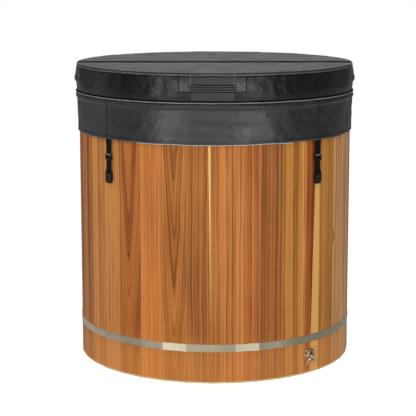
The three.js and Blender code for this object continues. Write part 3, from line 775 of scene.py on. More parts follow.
def soften(bm: BMesh, width: float, segments: int = 2, angle: float = 50.0) -> BMesh:
    """Round a mesh's sharp edges.

    Args:
        bm: The mesh.
        width: Width of the rounding, in metres.
        segments: Faces across it.
        angle: Angle in degrees above which an edge counts as sharp.

    Returns:
        The same mesh.
    """
    sharp = [edge for edge in bm.edges if edge.calc_face_angle(0.0) > math.radians(angle)]
    bmesh.ops.bevel(
        bm, geom=sharp, offset=width, segments=segments, profile=0.5, affect="EDGES", material=-1
    )
    return bm


def turned(profile: Sequence[tuple[float, float]], steps: int = 48) -> BMesh:
    """A profile of radius and height turned right round the Z axis.

    Args:
        profile: Points from the axis back to the axis.
        steps: Faces in a turn.

    Returns:
        The closed turned shape.
    """
    bm = bmesh.new()
    verts = [bm.verts.new((radius, 0.0, height)) for radius, height in profile]
    edges = [bm.edges.new(pair) for pair in zip(verts, verts[1:])]
    bmesh.ops.spin(
        bm, geom=verts + edges, cent=(0, 0, 0), axis=(0, 0, 1), angle=math.tau, steps=steps, use_merge=True
    )
    bmesh.ops.remove_doubles(bm, verts=bm.verts[:], dist=1e-6)
    bmesh.ops.recalc_face_normals(bm, faces=bm.faces[:])
    return bm


def merged(parts: Iterable[BMesh]) -> BMesh:
    """Several meshes as one.

    Args:
        parts: The meshes, which are used up.

    Returns:
        One mesh that holds them all.
    """
    whole = bmesh.new()
    scratch = bpy.data.meshes.new("scratch")
    for part in parts:
        part.to_mesh(scratch)
        part.free()
        whole.from_mesh(scratch)
    bpy.data.meshes.remove(scratch)
    return whole


def moved(bm: BMesh, *steps: Matrix) -> BMesh:
    """A mesh after some moves, the first of them first."""
    for step in steps:
        bmesh.ops.transform(bm, matrix=step, verts=bm.verts[:])
    return bm


def tube(points: Sequence[Vector], radius: float, roundness: int = 2) -> BMesh:
    """A closed round tube along a path.

    Args:
        points: The path.
        radius: The tube's radius, in metres.
        roundness: How many faces are added to each quarter of its section.

    Returns:
        The tube.
    """
    curve = bpy.data.curves.new("path", "CURVE")
    curve.dimensions = "3D"
    curve.bevel_depth = radius
    curve.bevel_resolution = roundness
    curve.use_fill_caps = True
    spline = curve.splines.new("POLY")
    spline.points.add(len(points) - 1)
    for spot, point in zip(spline.points, points):
        spot.co = (*point, 1.0)
    carrier = bpy.data.objects.new("path", curve)
    mesh = bpy.data.meshes.new_from_object(carrier)
    bm = bmesh.new()
    bm.from_mesh(mesh)
    bmesh.ops.remove_doubles(bm, verts=bm.verts[:], dist=1e-6)
    bmesh.ops.recalc_face_normals(bm, faces=bm.faces[:])
    bpy.data.objects.remove(carrier)
    bpy.data.curves.remove(curve)
    bpy.data.meshes.remove(mesh)
    return bm


def stitches(path: Sequence[Vector], pitch: float = 0.0042, length: float = 0.0032, radius: float = 0.00055) -> BMesh:
    """A row of sewn stitches along a path.

    Args:
        path: The path, on the sewn surface.
        pitch: From one stitch to the next, in metres.
        length: A stitch's length.
        radius: The thread's radius.

    Returns:
        The stitches.
    """
    bm = bmesh.new()
    for start, end in zip(path, path[1:]):
        run = end - start
        count = max(1, round(run.length / pitch))
        turn = run.to_track_quat("X", "Z").to_matrix().to_4x4()
        size = Matrix.Diagonal((length / 2, radius, radius, 1.0))
        for i in range(count):
            spot = Matrix.Translation(start + run * ((i + 0.5) / count))
            bmesh.ops.create_uvsphere(
                bm, u_segments=6, v_segments=4, radius=1.0, matrix=spot @ turn @ size
            )
    return bm


def around(angle: float) -> Matrix:
    """A turn about the tub's axis, from the front."""
    return Matrix.Rotation(angle, 4, "Z")


def on_wall(along: float, radius: float, height: float) -> Vector:
    """A point near the front of the tub.

    Args:
        along: Distance along the wall from the middle of the front, measured at that radius.
        radius: Distance from the axis.
        height: Height above the base.

    Returns:
        The point.
    """
    angle = along / radius
    return Vector((radius * math.sin(angle), -radius * math.cos(angle), height))


@dataclass(frozen=True)
class SlackCloth:
    """A short cloth simulation in which slack vinyl finds its own folds.

    Attributes:
        slack: Share by which the cloth is larger than its place.
        bend: Bending stiffness.
        gravity: Share of gravity that pulls on it.
        frames: Steps of the simulation.
    """

    slack: float
    bend: float = 0.4
    gravity: float = 0.2
    frames: int = 22

    def settle(self, bm: BMesh, moving: Callable[[BMFace], bool], pinned: Callable[[BMVert], bool]) -> None:
        """Let part of a mesh settle.

        Args:
            bm: The mesh, whose corners are moved.
            moving: Tells which faces are cloth.
            pinned: Tells which of their corners stay put.
        """
        bm.verts.index_update()
        part = bm.copy()
        rest = [face for face in part.faces if not moving(face)]
        kept = [vert.index for vert in part.verts if any(moving(face) for face in vert.link_faces)]
        if rest:
            bmesh.ops.delete(part, geom=rest, context="FACES")
        fixed = [i for i, vert in enumerate(part.verts) if pinned(vert)]
        mesh = bpy.data.meshes.new("slack_cloth")
        part.to_mesh(mesh)
        part.free()
        cloth = bpy.data.objects.new("slack_cloth", mesh)
        bpy.context.scene.collection.objects.link(cloth)
        group = cloth.vertex_groups.new(name="pin")
        group.add(fixed, 1.0, "REPLACE")
        self._simulate(cloth, group.name)
        settled = cloth.evaluated_get(bpy.context.evaluated_depsgraph_get())
        bm.verts.ensure_lookup_table()
        for index, vert in zip(kept, settled.data.vertices):
            bm.verts[index].co = vert.co
        bpy.data.objects.remove(cloth)
        bpy.data.meshes.remove(mesh)
        bpy.context.scene.frame_set(1)

    def _simulate(self, cloth: bpy.types.Object, group: str) -> None:
        """Run the simulation.

        Args:
            cloth: The cloth's object.
            group: Name of the group of pinned corners.
        """
        modifier = cloth.modifiers.new("Cloth", "CLOTH")
        settings = modifier.settings
        settings.quality = 6
        settings.mass = 0.25
        settings.tension_stiffness = 60.0
        settings.compression_stiffness = 60.0
        settings.shear_stiffness = 20.0
        settings.bending_stiffness = self.bend
        settings.tension_damping = 15.0
        settings.compression_damping = 15.0
        settings.air_damping = 4.0
        settings.shrink_min = -self.slack
        settings.shrink_max = -self.slack
        settings.vertex_group_mass = group
        settings.effector_weights.gravity = self.gravity
        modifier.collision_settings.use_collision = False
        modifier.point_cache.frame_start = 1
        modifier.point_cache.frame_end = self.frames
        for step in range(1, self.frames + 1):
            bpy.context.scene.frame_set(step)


@dataclass
class Staves:
    """The ring of cedar staves."""

    def dress(self) -> None:
        """Give each stave its own board."""
        boards = {
            3: Board.UMBER,
            4: Board.UMBER,
            5: Board.HONEY,
            6: Board.HONEY,
            7: Board.FLAME,
            8: Board.AMBER,
            9: Board.VEINED,
            10: Board.UMBER,
            11: Board.RUSSET,
            12: Board.AMBER,
            13: Board.CURLY,
            14: Board.OLIVE,
            15: Board.MIXED,
            16: Board.OLIVE,
            17: Board.PALE,
            18: Board.PALE,
        }
        strips = {
            10: (PaleStrip(1, 0.033, 0.046, srgb(250, 212, 130)),),
            15: (PaleStrip(1, 0.028, 0.0), PaleStrip(-1, 0.037, 0.038, srgb(222, 160, 110))),
        }
        spare = [Board.AMBER, Board.UMBER, Board.HONEY, Board.RUSSET, Board.OLIVE, Board.FLAME]
        for number in range(1, TUB.single_staves + 1):
            board = boards.get(number, spare[number % len(spare)])
            knot = (-0.03, 0.5) if number == 17 else None
            finish = CedarStave(
                f"cedar_stave_{number:02}", board, number * 3.7, strips.get(number, ()), knot
            )
            dress(f"stave_{number:02}", finish)
        for number in range(TUB.single_staves + 1, TUB.stave_count, 2):
            board = spare[(number // 2) % len(spare)]
            finish = CedarStave(f"cedar_pair_{number}", board, number * 3.7)
            dress(f"staves_{number}_{number + 1}", finish)


@dataclass
class Floor:
    """The floor in its groove, and the joists under it."""

    def dress(self) -> None:
        """Give the floor and joists their wood."""
        dress("tub_floor", CedarPlank("cedar_floor", Board.HONEY, 5.0))
        for place in ("front", "rear"):
            dress(f"floor_joist_{place}", CedarPlank(f"cedar_joist_{place}", Board.UMBER, 9.0, width=0.4))


@dataclass
class Hoops:
    """The two steel bands and what draws the lower one tight."""

    def dress(self) -> None:
        """Give the bands, bolt and nut their steel."""
        for node in ("lower_hoop", "upper_hoop"):
            dress(node, STEEL)
        bright = Polished("bolt_steel", srgb(170, 170, 168), 0.25, 0.00005)
        for node in ("lower_hoop_bolt", "lower_hoop_nut", "drain_spindle"):
            dress(node, bright)


@dataclass
class Drain:
    """The quarter-turn drain: its fittings in the floor and its cross handle on the wall."""

    stave: int = 4
    height: float = 0.066
    rose_radius: float = 0.029
    dome_radius: float = 0.0155
    hub_back: float = 0.0077
    hub_front: float = 0.0167
    hub_radius: float = 0.008
    cap_radius: float = 0.0056
    arm_radius: float = 0.002
    ball_radius: float = 0.0042
    ball_circle: float = 0.0358
    ball_stand_off: float = 0.007

    def dress(self) -> None:
        """Give the hidden fittings their metal."""
        dress("drain_strainer", CHROME)
        dress("drain_lock_nut", BRASS)
        dress("drain_valve_body", BRASS)

    def _onto_wall(self, bm: BMesh) -> BMesh:
        """Put a shape that is turned about Z on the drain's axis, with Z pointing out of the stave."""
        return moved(
            bm,
            Matrix.Rotation(math.pi / 2, 4, "X"),
            Matrix.Translation((0.0, -TUB.wall_face, self.height)),
            around(TUB.stave_angle(self.stave)),
        )

    def build(self) -> None:
        """Make the rose, the cross handle and its cap."""
        rose = turned(
            [
                (0.0044, 0.0003),
                (self.rose_radius, 0.0003),
                (self.rose_radius, 0.0012),
                (self.rose_radius - 0.0006, 0.0019),
                (self.rose_radius - 0.0035, 0.0022),
                (self.dome_radius + 0.001, 0.0024),
                (self.dome_radius, 0.0028),
                (self.dome_radius * 0.94, 0.0042),
                (self.dome_radius * 0.8, 0.0056),
                (self.dome_radius * 0.62, 0.0067),
                (self.dome_radius * 0.5, 0.0072),
                (0.0044, 0.0072),
                (0.0044, 0.0003),
            ],
            64,
        )
        # The rose's chrome carries a painted reflection of the wood.
        make_piece("drain_rose", self._onto_wall(rose), ROSE_CHROME_PAINTED_REFLECTION, "tub", ["drain_escutcheon"], 50)
        hub = turned(
            [
                (0.0043, self.hub_back),
                (self.hub_radius - 0.0006, self.hub_back),
                (self.hub_radius, self.hub_back + 0.0006),
                (self.hub_radius * 0.94, (self.hub_back + self.hub_front) / 2),
                (self.hub_radius, self.hub_front - 0.0012),
                (self.hub_radius - 0.0012, self.hub_front),
                (self.cap_radius + 0.0003, self.hub_front),
                (self.cap_radius + 0.0003, self.hub_front - 0.002),
                (0.0, self.hub_front - 0.002),
                (0.0, self.hub_front - 0.0027),
                (0.0043, self.hub_front - 0.0027),
                (0.0043, self.hub_back),
            ]
        )
        cross = merged([hub, *(self._arm(i) for i in range(4))])
        make_piece(
            "drain_cross", self._onto_wall(cross), CHROME, "drain_handle", ["drain_cross_handle"], 50
        )
        back = self.hub_front - 0.0017
        cap = turned(
            [
                (0.0, back),
                (self.cap_radius, back),
                (self.cap_radius, back + 0.0017),
                (self.cap_radius * 0.92, back + 0.0025),
                (self.cap_radius * 0.6, back + 0.0032),
                (0.0, back + 0.0034),
            ]
        )
        make_piece(
            "drain_button", self._onto_wall(cap), CHROME, "drain_handle", ["drain_handle_cap"], 50
        )

    def _arm(self, number: int) -> BMesh:
        """One arm of the cross, with a collar and a ball.

        Args:
            number: Which of the four.

        Returns:
            The arm, about the drain's axis.
        """
        turn = math.pi / 4 + number * math.pi / 2
        root = Vector((0.0, 0.0, (self.hub_back + self.hub_front) / 2))
        start = root + Vector((math.cos(turn), math.sin(turn), 0.0)) * (self.hub_radius * 0.8)
        ball = Vector((math.cos(turn), math.sin(turn), 0.0)) * self.ball_circle
        ball.z = self.ball_stand_off
        run = ball - start
        radius, collar = self.arm_radius, run.length * 0.62
        profile = [(0.0, 0.0), (radius * 1.25, 0.0), (radius * 1.05, run.length * 0.3)]
        profile += [(radius, collar - 0.0022), (radius * 1.5, collar - 0.0009)]
        profile += [(radius * 1.5, collar + 0.0009), (radius, collar + 0.0022)]
        profile += [(radius * 0.9, run.length - self.ball_radius * 0.95)]
        for step in range(1, 9):
            swing = math.pi * (0.12 + 0.88 * step / 8)
            profile.append(
                (self.ball_radius * math.sin(swing), run.length - self.ball_radius * math.cos(swing))
            )
        profile[-1] = (0.0, run.length + self.ball_radius)
        turn_to = run.to_track_quat("Z", "Y").to_matrix().to_4x4()
        return moved(turned(profile, 20), Matrix.Translation(start) @ turn_to)


class Half(Enum):
    """The two halves of the cover, with the turn that brings each into place."""

    FRONT = 0.0
    REAR = math.pi

    @property
    def word(self) -> str:
        """The half's name in CAD nodes."""
        return self.name.lower()

    @property
    def body(self) -> str:
        """The half's CAD body."""
        return f"{self.word}_cover"

    @property
    def valley_reach(self) -> float:
        """How far from the fold the half's top starts to dip: the front one has settled more."""
        return 0.07 if self is Half.FRONT else 0.012


@dataclass
class CoverHalf:
    """One half of the folding cover: the padded jacket, its piping and its skirt."""

    half: Half
    columns: int = 160
    rows: int = 80
    wall_rows: int = 24
    crowding: float = 1.35
    most_out: float = 0.0003
    most_in: float = 0.004
    foam_inset: float = 0.009
    valley_depth: float = 0.005
    calm_spans: tuple[tuple[float, float], ...] = ((0.0, 13.5), (79.0, 8.7), (-79.0, 8.7))
    calm_fade: float = 8.0
    skirt_columns: int = 300
    skirt_rows: int = 32
    skirt_thickness: float = 0.0018
    smoothing: int = 14
    roll: float = 0.0044
    roll_drop: float = 0.0205
    roll_reach: float = 0.0056
    tuck: float = 0.002
    seam_angles: tuple[float, ...] = (math.radians(-47.2), math.radians(45.0))
    backing_reach: float = math.radians(32.0)

    def _seed(self) -> Vector:
        """An offset that gives each half folds of its own."""
        return Vector((3.1, 7.7, 1.3)) * (1.0 if self.half is Half.FRONT else 2.0)

    def build(self) -> None:
        """Make all the pieces of this half."""
        self._jacket()
        self._pipings()
        self._zip()
        self._skirt()

    def _half_round(self, unit: Vector, inset: float) -> Vector:
        """Where a corner of the unit block goes in a half-round block.

        Args:
            unit: The corner: x across, y from the fold out, z up.
            inset: How far the block lies inside the cover's outside.

        Returns:
            Its place in the front half.
        """
        cross, share = unit.x, unit.z
        out = ((unit.y + 1) / 2) ** self.crowding
        radius = TUB.side_radius(share) - inset
        x = radius * cross * math.sqrt(1 - out * out / 2)
        y = radius * out * math.sqrt(1 - cross * cross / 2)
        y = inset + y * (1 - inset / radius)
        height = TUB.cover_top - TUB.cover_bottom - 2 * inset
        return Vector((x, -y - TUB.fold_gap / 2, TUB.cover_bottom + inset + share * height))

    def _jacket_point(self, unit: Vector) -> Vector:
        """Where a corner of the unit block goes on the jacket, whose top dips towards the fold."""
        spot = self._half_round(unit, 0.0)
        from_fold = -spot.y - TUB.fold_gap / 2
        if unit.y == -1.0:
            spot.z -= unit.z * (TUB.fold_round + self.valley_depth)
        elif unit.z == 1.0:
            gap = max(TUB.fold_round - from_fold, 0.0)
            spot.z -= TUB.fold_round - math.sqrt(TUB.fold_round**2 - gap**2)
            spot.z -= self.valley_depth * (1 - ease(from_fold / self.half.valley_reach))
            spot.z += self._top_relief(spot.x, from_fold)
        return spot

    def _top_relief(self, x: float, y: float) -> float:
        """Height of the soft waves in the top panel.

        Args:
            x: Across.
            y: Out from the fold.

        Returns:
            The height above the flat panel.
        """
        spot = Vector((x, y, 0.0)) + self._seed()
        rim = TUB.rim_radius - math.hypot(x, y)
        calm = ease(min(y, rim) / 0.03)
        wave = 0.0011 * noise.noise(spot * 7.0) + 0.00045 * noise.noise(spot * 24.0)
        wave += 0.0002 * noise.noise(Vector((spot.x * 30.0, spot.y * 90.0, 4.0)))
        pucker = 0.0008 * noise.noise(spot * 55.0) * (1 - ease(rim / 0.05))
        return calm * wave - 0.0009 * calm + pucker * ease(rim / 0.008)

    def _jacket(self) -> None:
        """Make the padded jacket, with slack folds in its side."""
        bm = slab(self.columns, self.rows, self.wall_rows)
        shape(bm, self._jacket_point)
        side = [vert for vert in bm.verts if all(self._on_side(face) for face in vert.link_faces)]
        SlackCloth(0.0008, bend=2.0).settle(bm, self._on_side, self._on_seam)
        for _ in range(self.smoothing):
            bmesh.ops.smooth_vert(bm, verts=side, factor=0.5, use_axis_x=True, use_axis_y=True)
        for vert in side:
            self._hold_side(vert)
        moved(bm, around(self.half.value))
        name = f"{self.half.word}_cover_jacket"
        piece = make_piece(name, bm, VINYL, self.half.body, [f"{self.half.word}_jacket"], 60)
        # Upward faces take the lighter top vinyl, which carries painted sheen.
        piece.data.materials.append(TOP_VINYL_WITH_SHEEN.material())
        for face in piece.data.polygons:
            face.material_index = int(face.normal.z > 0.7)
        foam = shape(slab(48, 24, 4), lambda unit: self._half_round(unit, self.foam_inset))
        moved(foam, around(self.half.value))
        make_piece(
            f"{self.half.word}_foam", foam, FOAM, self.half.body, [f"{self.half.word}_foam_core"]
        )

    @staticmethod
    def _on_side(face: BMFace) -> bool:
        """Whether a face of the jacket is in its round side."""
        middle = face.calc_center_median()
        return abs(face.normal.z) < 0.6 and math.hypot(middle.x, middle.y) > TUB.rim_radius - 0.004

    @staticmethod
    def _on_seam(vert: BMVert) -> bool:
        """Whether a corner of the side panel is on one of its seams."""
        return any(edge.is_boundary for edge in vert.link_edges)

    def _folds(self, angle: float, height: float, size: float) -> float:
        """Slanting soft folds, from -1 to 1.

        Args:
            angle: Angle round the tub from the middle of this half.
            height: Height above the base.
            size: Width of a fold, in metres.

        Returns:
            How far out the cloth stands.
        """
        along = angle * TUB.seam_radius
        lean = 0.9 if angle > 0 else -0.7
        across, down = along + lean * height, height - lean * along
        spot = Vector((across / size, down / size / 2.2, 0.0)) + self._seed()
        return noise.noise(spot)

    def _hold_side(self, vert: BMVert) -> None:
        """Keep a corner of the side within the room that the CAD model leaves it, and add soft waves."""
        radius = math.hypot(vert.co.x, vert.co.y)
        share = (vert.co.z - TUB.cover_bottom) / (TUB.cover_top - TUB.cover_bottom)
        base = TUB.side_radius(share)
        angle = math.atan2(vert.co.x, -vert.co.y)
        wave = 0.0012 * noise.noise((vert.co + self._seed()) * 8.0)
        wave += 0.0009 * noise.noise((vert.co + self._seed()) * 26.0)
        wave += 0.0014 * self._folds(angle, vert.co.z, 0.035) + 0.0006 * self._folds(angle, vert.co.z, 0.015)
        wave *= ease(min(share, 1 - share) / 0.2) * ease(-vert.co.y / 0.03)
        turn = math.degrees(angle)
        loose = min(ease((abs(turn - middle) - reach) / self.calm_fade) for middle, reach in self.calm_spans)
        held = min(max(radius, base - self.most_in), TUB.cover_radius)
        new = min(base + (held - base + wave) * loose, TUB.cover_radius + self.most_out)
        vert.co.x *= new / radius
        vert.co.y *= new / radius

    def _pipings(self) -> None:
        """Make the welts along the side's seams, the flat binding under the upper one, and black cords laid as
        painted shade beside them.
        """
        rim, top, seam = TUB.rim_radius, TUB.cover_top, TUB.cover_bottom
        level = top - 0.009
        out = TUB.side_radius_at(level)
        binding = [(-0.003, -0.0034), (0.0012, -0.0034), (0.002, -0.0024), (0.0022, 0.0)]
        binding += [(0.0018, 0.0024), (0.001, 0.0034), (-0.003, 0.0034)]
        # The lighter piping, binding and welt carry painted highlight along the seams.
        self._welts("top_piping", PIPING_AND_HIGHLIGHT, [self._round(rim + 0.0006, top - 0.0016, 0.0019)])
        self._welts("top_binding", PIPING_AND_HIGHLIGHT, [[(out + across, level + up) for across, up in binding]])
        self._welts("skirt_piping", WELT_AND_HIGHLIGHT, [self._round(TUB.skirt_radius + 0.0034, seam - 0.0056, 0.0022)])
        # Painted shade: black cords in the groove under the top piping, under the binding, in the seam and under the
        # skirt's welt.
        painted_shade_cords = [
            self._round(rim + 0.0009, top - 0.0046, 0.0012),
            self._round(TUB.side_radius_at(level - 0.0046) + 0.0004, level - 0.0046, 0.0013),
            self._round(TUB.seam_radius - 0.0006, seam - 0.0008, 0.0028),
            self._round(TUB.skirt_radius + 0.0016, seam - 0.0092, 0.0016),
        ]
        self._welts("seam_painted_shade", DARK_THREAD_AND_SHADE, painted_shade_cords)

    @staticmethod
    def _round(radius: float, height: float, size: float) -> list[tuple[float, float]]:
        """A round section about a radius and a height."""
        turns = [math.tau * step / 10 for step in range(10)]
        return [(radius + size * math.cos(turn), height + size * math.sin(turn)) for turn in turns]

    def _welts(self, word: str, finish: Finish, sections: Sequence[Sequence[tuple[float, float]]]) -> None:
        """Make a piece of one or more welts round this half.

        Args:
            word: What the piece is called.
            finish: Its finish.
            sections: For each welt, the radius and height of its section's corners.
        """
        made = []
        for section in sections:
            bm = bmesh.new()
            verts = [bm.verts.new((-radius, 0.0, height)) for radius, height in section]
            edges = [bm.edges.new((verts[i - 1], verts[i])) for i in range(len(verts))]
            middle = sum((vert.co for vert in verts), Vector()) / len(verts)
            bmesh.ops.spin(
                bm, geom=verts + edges, cent=(0, 0, 0), axis=(0, 0, 1), angle=math.pi, steps=300
            )
            bmesh.ops.holes_fill(bm, edges=[edge for edge in bm.edges if edge.is_boundary])
            made.append(shape(bm, lambda spot: self._puckered(spot, middle)))
        whole = moved(merged(made), around(self.half.value))
        make_piece(f"{self.half.word}_{word}", whole, finish, self.half.body, crease=70)

    def _puckered(self, spot: Vector, middle: Vector) -> Vector:
        """A corner of a welt, drawn in and out as its stitches pull on it.

        Args:
            spot: The corner on the even welt.
            middle: The middle of the welt's section where it starts.

        Returns:
            The corner's new place.
        """
        flat = Vector((spot.x, spot.y, 0.0)).normalized()
        core = flat * -middle.x + Vector((0, 0, middle.z))
        pull = 1.0 + 0.22 * noise.noise((core + self._seed()) * 60.0)
        sway = noise.noise((core + self._seed()) * 22.0) * 0.0007
        moved_spot = core + (spot - core) * pull + Vector((0, 0, sway))
        moved_spot.y -= TUB.fold_gap / 2
        return moved_spot

    def _zip(self) -> None:
        """Make the zip along the fold side, sunk into the jacket."""
        middle = (TUB.cover_bottom + TUB.cover_top) / 2
        reach = TUB.seam_radius - 0.091
        coil = tube([Vector((-reach, -0.0013, middle)), Vector((reach, -0.0013, middle))], 0.001)
        teeth = bmesh.new()
        count = round(2 * reach / 0.003)
        for i in range(count):
            spot = Vector((-reach + (i + 0.5) * 2 * reach / count, -0.0009, middle))
            size = Matrix.Diagonal((0.0008, 0.0004, 0.0026, 1.0))
            bmesh.ops.create_uvsphere(
                teeth, u_segments=6, v_segments=4, radius=1.0, matrix=Matrix.Translation(spot) @ size
            )
        bm = moved(merged([coil, teeth]), around(self.half.value))
        make_piece(f"{self.half.word}_zip", bm, PLASTIC, self.half.body)

    def _skirt_point(self, unit: Vector) -> Vector:
        """Where a corner of the unit sheet goes on the hanging skirt.

        Args:
            unit: The corner: x along, y up.

        Returns:
            Its place on the front half.
        """
        reach = math.pi / 2 - TUB.fold_gap / 2 / TUB.skirt_radius
        angle = unit.x * reach
        share = (unit.y + 1) / 2
        drop = 1 - share
        spot = Vector((math.sin(angle) * 2, math.cos(angle) * 2, share)) + self._seed()
        radius = TUB.skirt_radius + 0.0012 * drop * math.cos(14 * angle)
        radius += 0.0016 * drop * noise.noise(spot * 2.2)
        radius -= 0.0045 * drop * ease((abs(angle) - 0.95) / 0.4)
        height = TUB.hem + share * (TUB.skirt_top + 0.0002 - TUB.hem)
        height += 0.0022 * noise.noise(spot * 3.0) * drop
        return Vector((radius * math.sin(angle), -radius * math.cos(angle), height))

    def _skirt(self) -> None:
        """Make the skirt, with its hem and its upright seams."""
        bm = bmesh.new()
        bmesh.ops.create_grid(bm, x_segments=self.skirt_columns, y_segments=self.skirt_rows, size=1.0)
        shape(bm, self._skirt_point)
        for face in bm.faces:
            middle = face.calc_center_median()
            if face.normal.x * middle.x + face.normal.y * middle.y < 0:
                face.normal_flip()
        for vert in bm.verts:
            self._drape(vert)
        corners = [vert.co.copy() for vert in bm.verts]
        hem = corners[: self.skirt_columns + 1]
        sewn = corners[2 * len(hem) : 3 * len(hem)]
        word = self.half.word
        seams = [self._column(bm, angle) for angle in self.seam_angles]
        moved(bm, around(self.half.value))
        skirt = make_piece(f"{word}_cover_skirt", bm, SKIRT_VINYL, self.half.body, [f"{word}_skirt"], 180)
        thick = skirt.modifiers.new("Cloth thickness", "SOLIDIFY")
        thick.thickness = self.skirt_thickness
        thick.offset = 0.0
        # The lighter hem binding carries painted highlight along the hem.
        binding = moved(tube(hem, 0.0019), around(self.half.value))
        trims = [make_piece(f"{word}_hem_binding", binding, PIPING_AND_HIGHLIGHT, self.half.body, crease=180)]
        line = tube([spot * 1.0008 for spot in sewn], 0.0009, 1)
        moved(line, Matrix.Translation((0, 0, -0.0008)), around(self.half.value))
        trims.append(make_piece(f"{word}_hem_stitches", line, DARK_THREAD_AND_SHADE, self.half.body))
        peep = [Vector((spot.x, spot.y, 0)) * 0.9975 + Vector((0, 0, spot.z - 0.0024)) for spot in hem]
        peep = [spot for spot in peep if abs(math.atan2(spot.x, -spot.y)) < self.backing_reach]
        backing = moved(tube(peep, 0.0014), around(self.half.value))
        trims.append(make_piece(f"{word}_skirt_backing", backing, BACKING, self.half.body))
        if self.half is Half.FRONT:
            trims += self._skirt_seams(seams)

    def _drape(self, vert: BMVert) -> None:
        """Give a corner of the skirt its roll below the seam and its soft creases, clear of the staves."""
        radius = math.hypot(vert.co.x, vert.co.y)
        angle = math.atan2(vert.co.x, -vert.co.y)
        down = TUB.skirt_top - vert.co.z
        spot = Vector((math.sin(angle) * 2, math.cos(angle) * 2, 0.0)) + self._seed()
        bend = self.roll * math.exp(-(((down - self.roll_drop) / self.roll_reach) ** 2))
        bend *= 1.0 + 0.4 * noise.noise(spot * 2.5)
        bend -= self.tuck * (1 - ease(down / 0.006))
        sway = 3.0 * noise.noise(spot * 1.1) + 2.0 * noise.noise(Vector((spot.x, spot.y, down * 12.0)))
        crease = 0.0007 * math.sin(down * math.tau / 0.05 + sway) * (1 - ease((abs(angle) - 0.5) / 0.4))
        crease *= ease(down / 0.03) * (0.7 + 0.9 * noise.noise(spot * 1.9 + Vector((0, 0, down * 9.0))))
        ripple = 0.0026 * self._folds(angle, vert.co.z, 0.042) + 0.0012 * self._folds(angle, vert.co.z, 0.02)
        ripple *= ease(down / 0.02) * (0.25 + 0.75 * ease(abs(angle) / 0.9))
        new = max(radius + bend + crease + ripple, TUB.wall_radius + 0.0022)
        vert.co.x *= new / radius
        vert.co.y *= new / radius

    @staticmethod
    def _column(bm: BMesh, angle: float) -> list[Vector]:
        """The skirt's corners nearest to an angle, from the hem up."""
        near = [vert.co.copy() for vert in bm.verts if abs(math.atan2(vert.co.x, -vert.co.y) - angle) < 0.0053]
        return sorted(near, key=lambda spot: spot.z)

    def _skirt_seams(self, columns: Sequence[Sequence[Vector]]) -> list[bpy.types.Object]:
        """Make the upright felled seams of the front skirt, each as one thin dark cord.

        Args:
            columns: The skirt's corners along each seam, from the hem up.

        Returns:
            The seams' pieces.
        """
        made = []
        for word, column in zip(("left", "right"), columns):
            lift = [spot + Vector((spot.x, spot.y, 0)).normalized() * 0.001 for spot in column]
            made.append(make_piece(f"{word}_skirt_seam", tube(lift, 0.0006, 1), DARK_THREAD_AND_SHADE, "front_cover"))
        return made


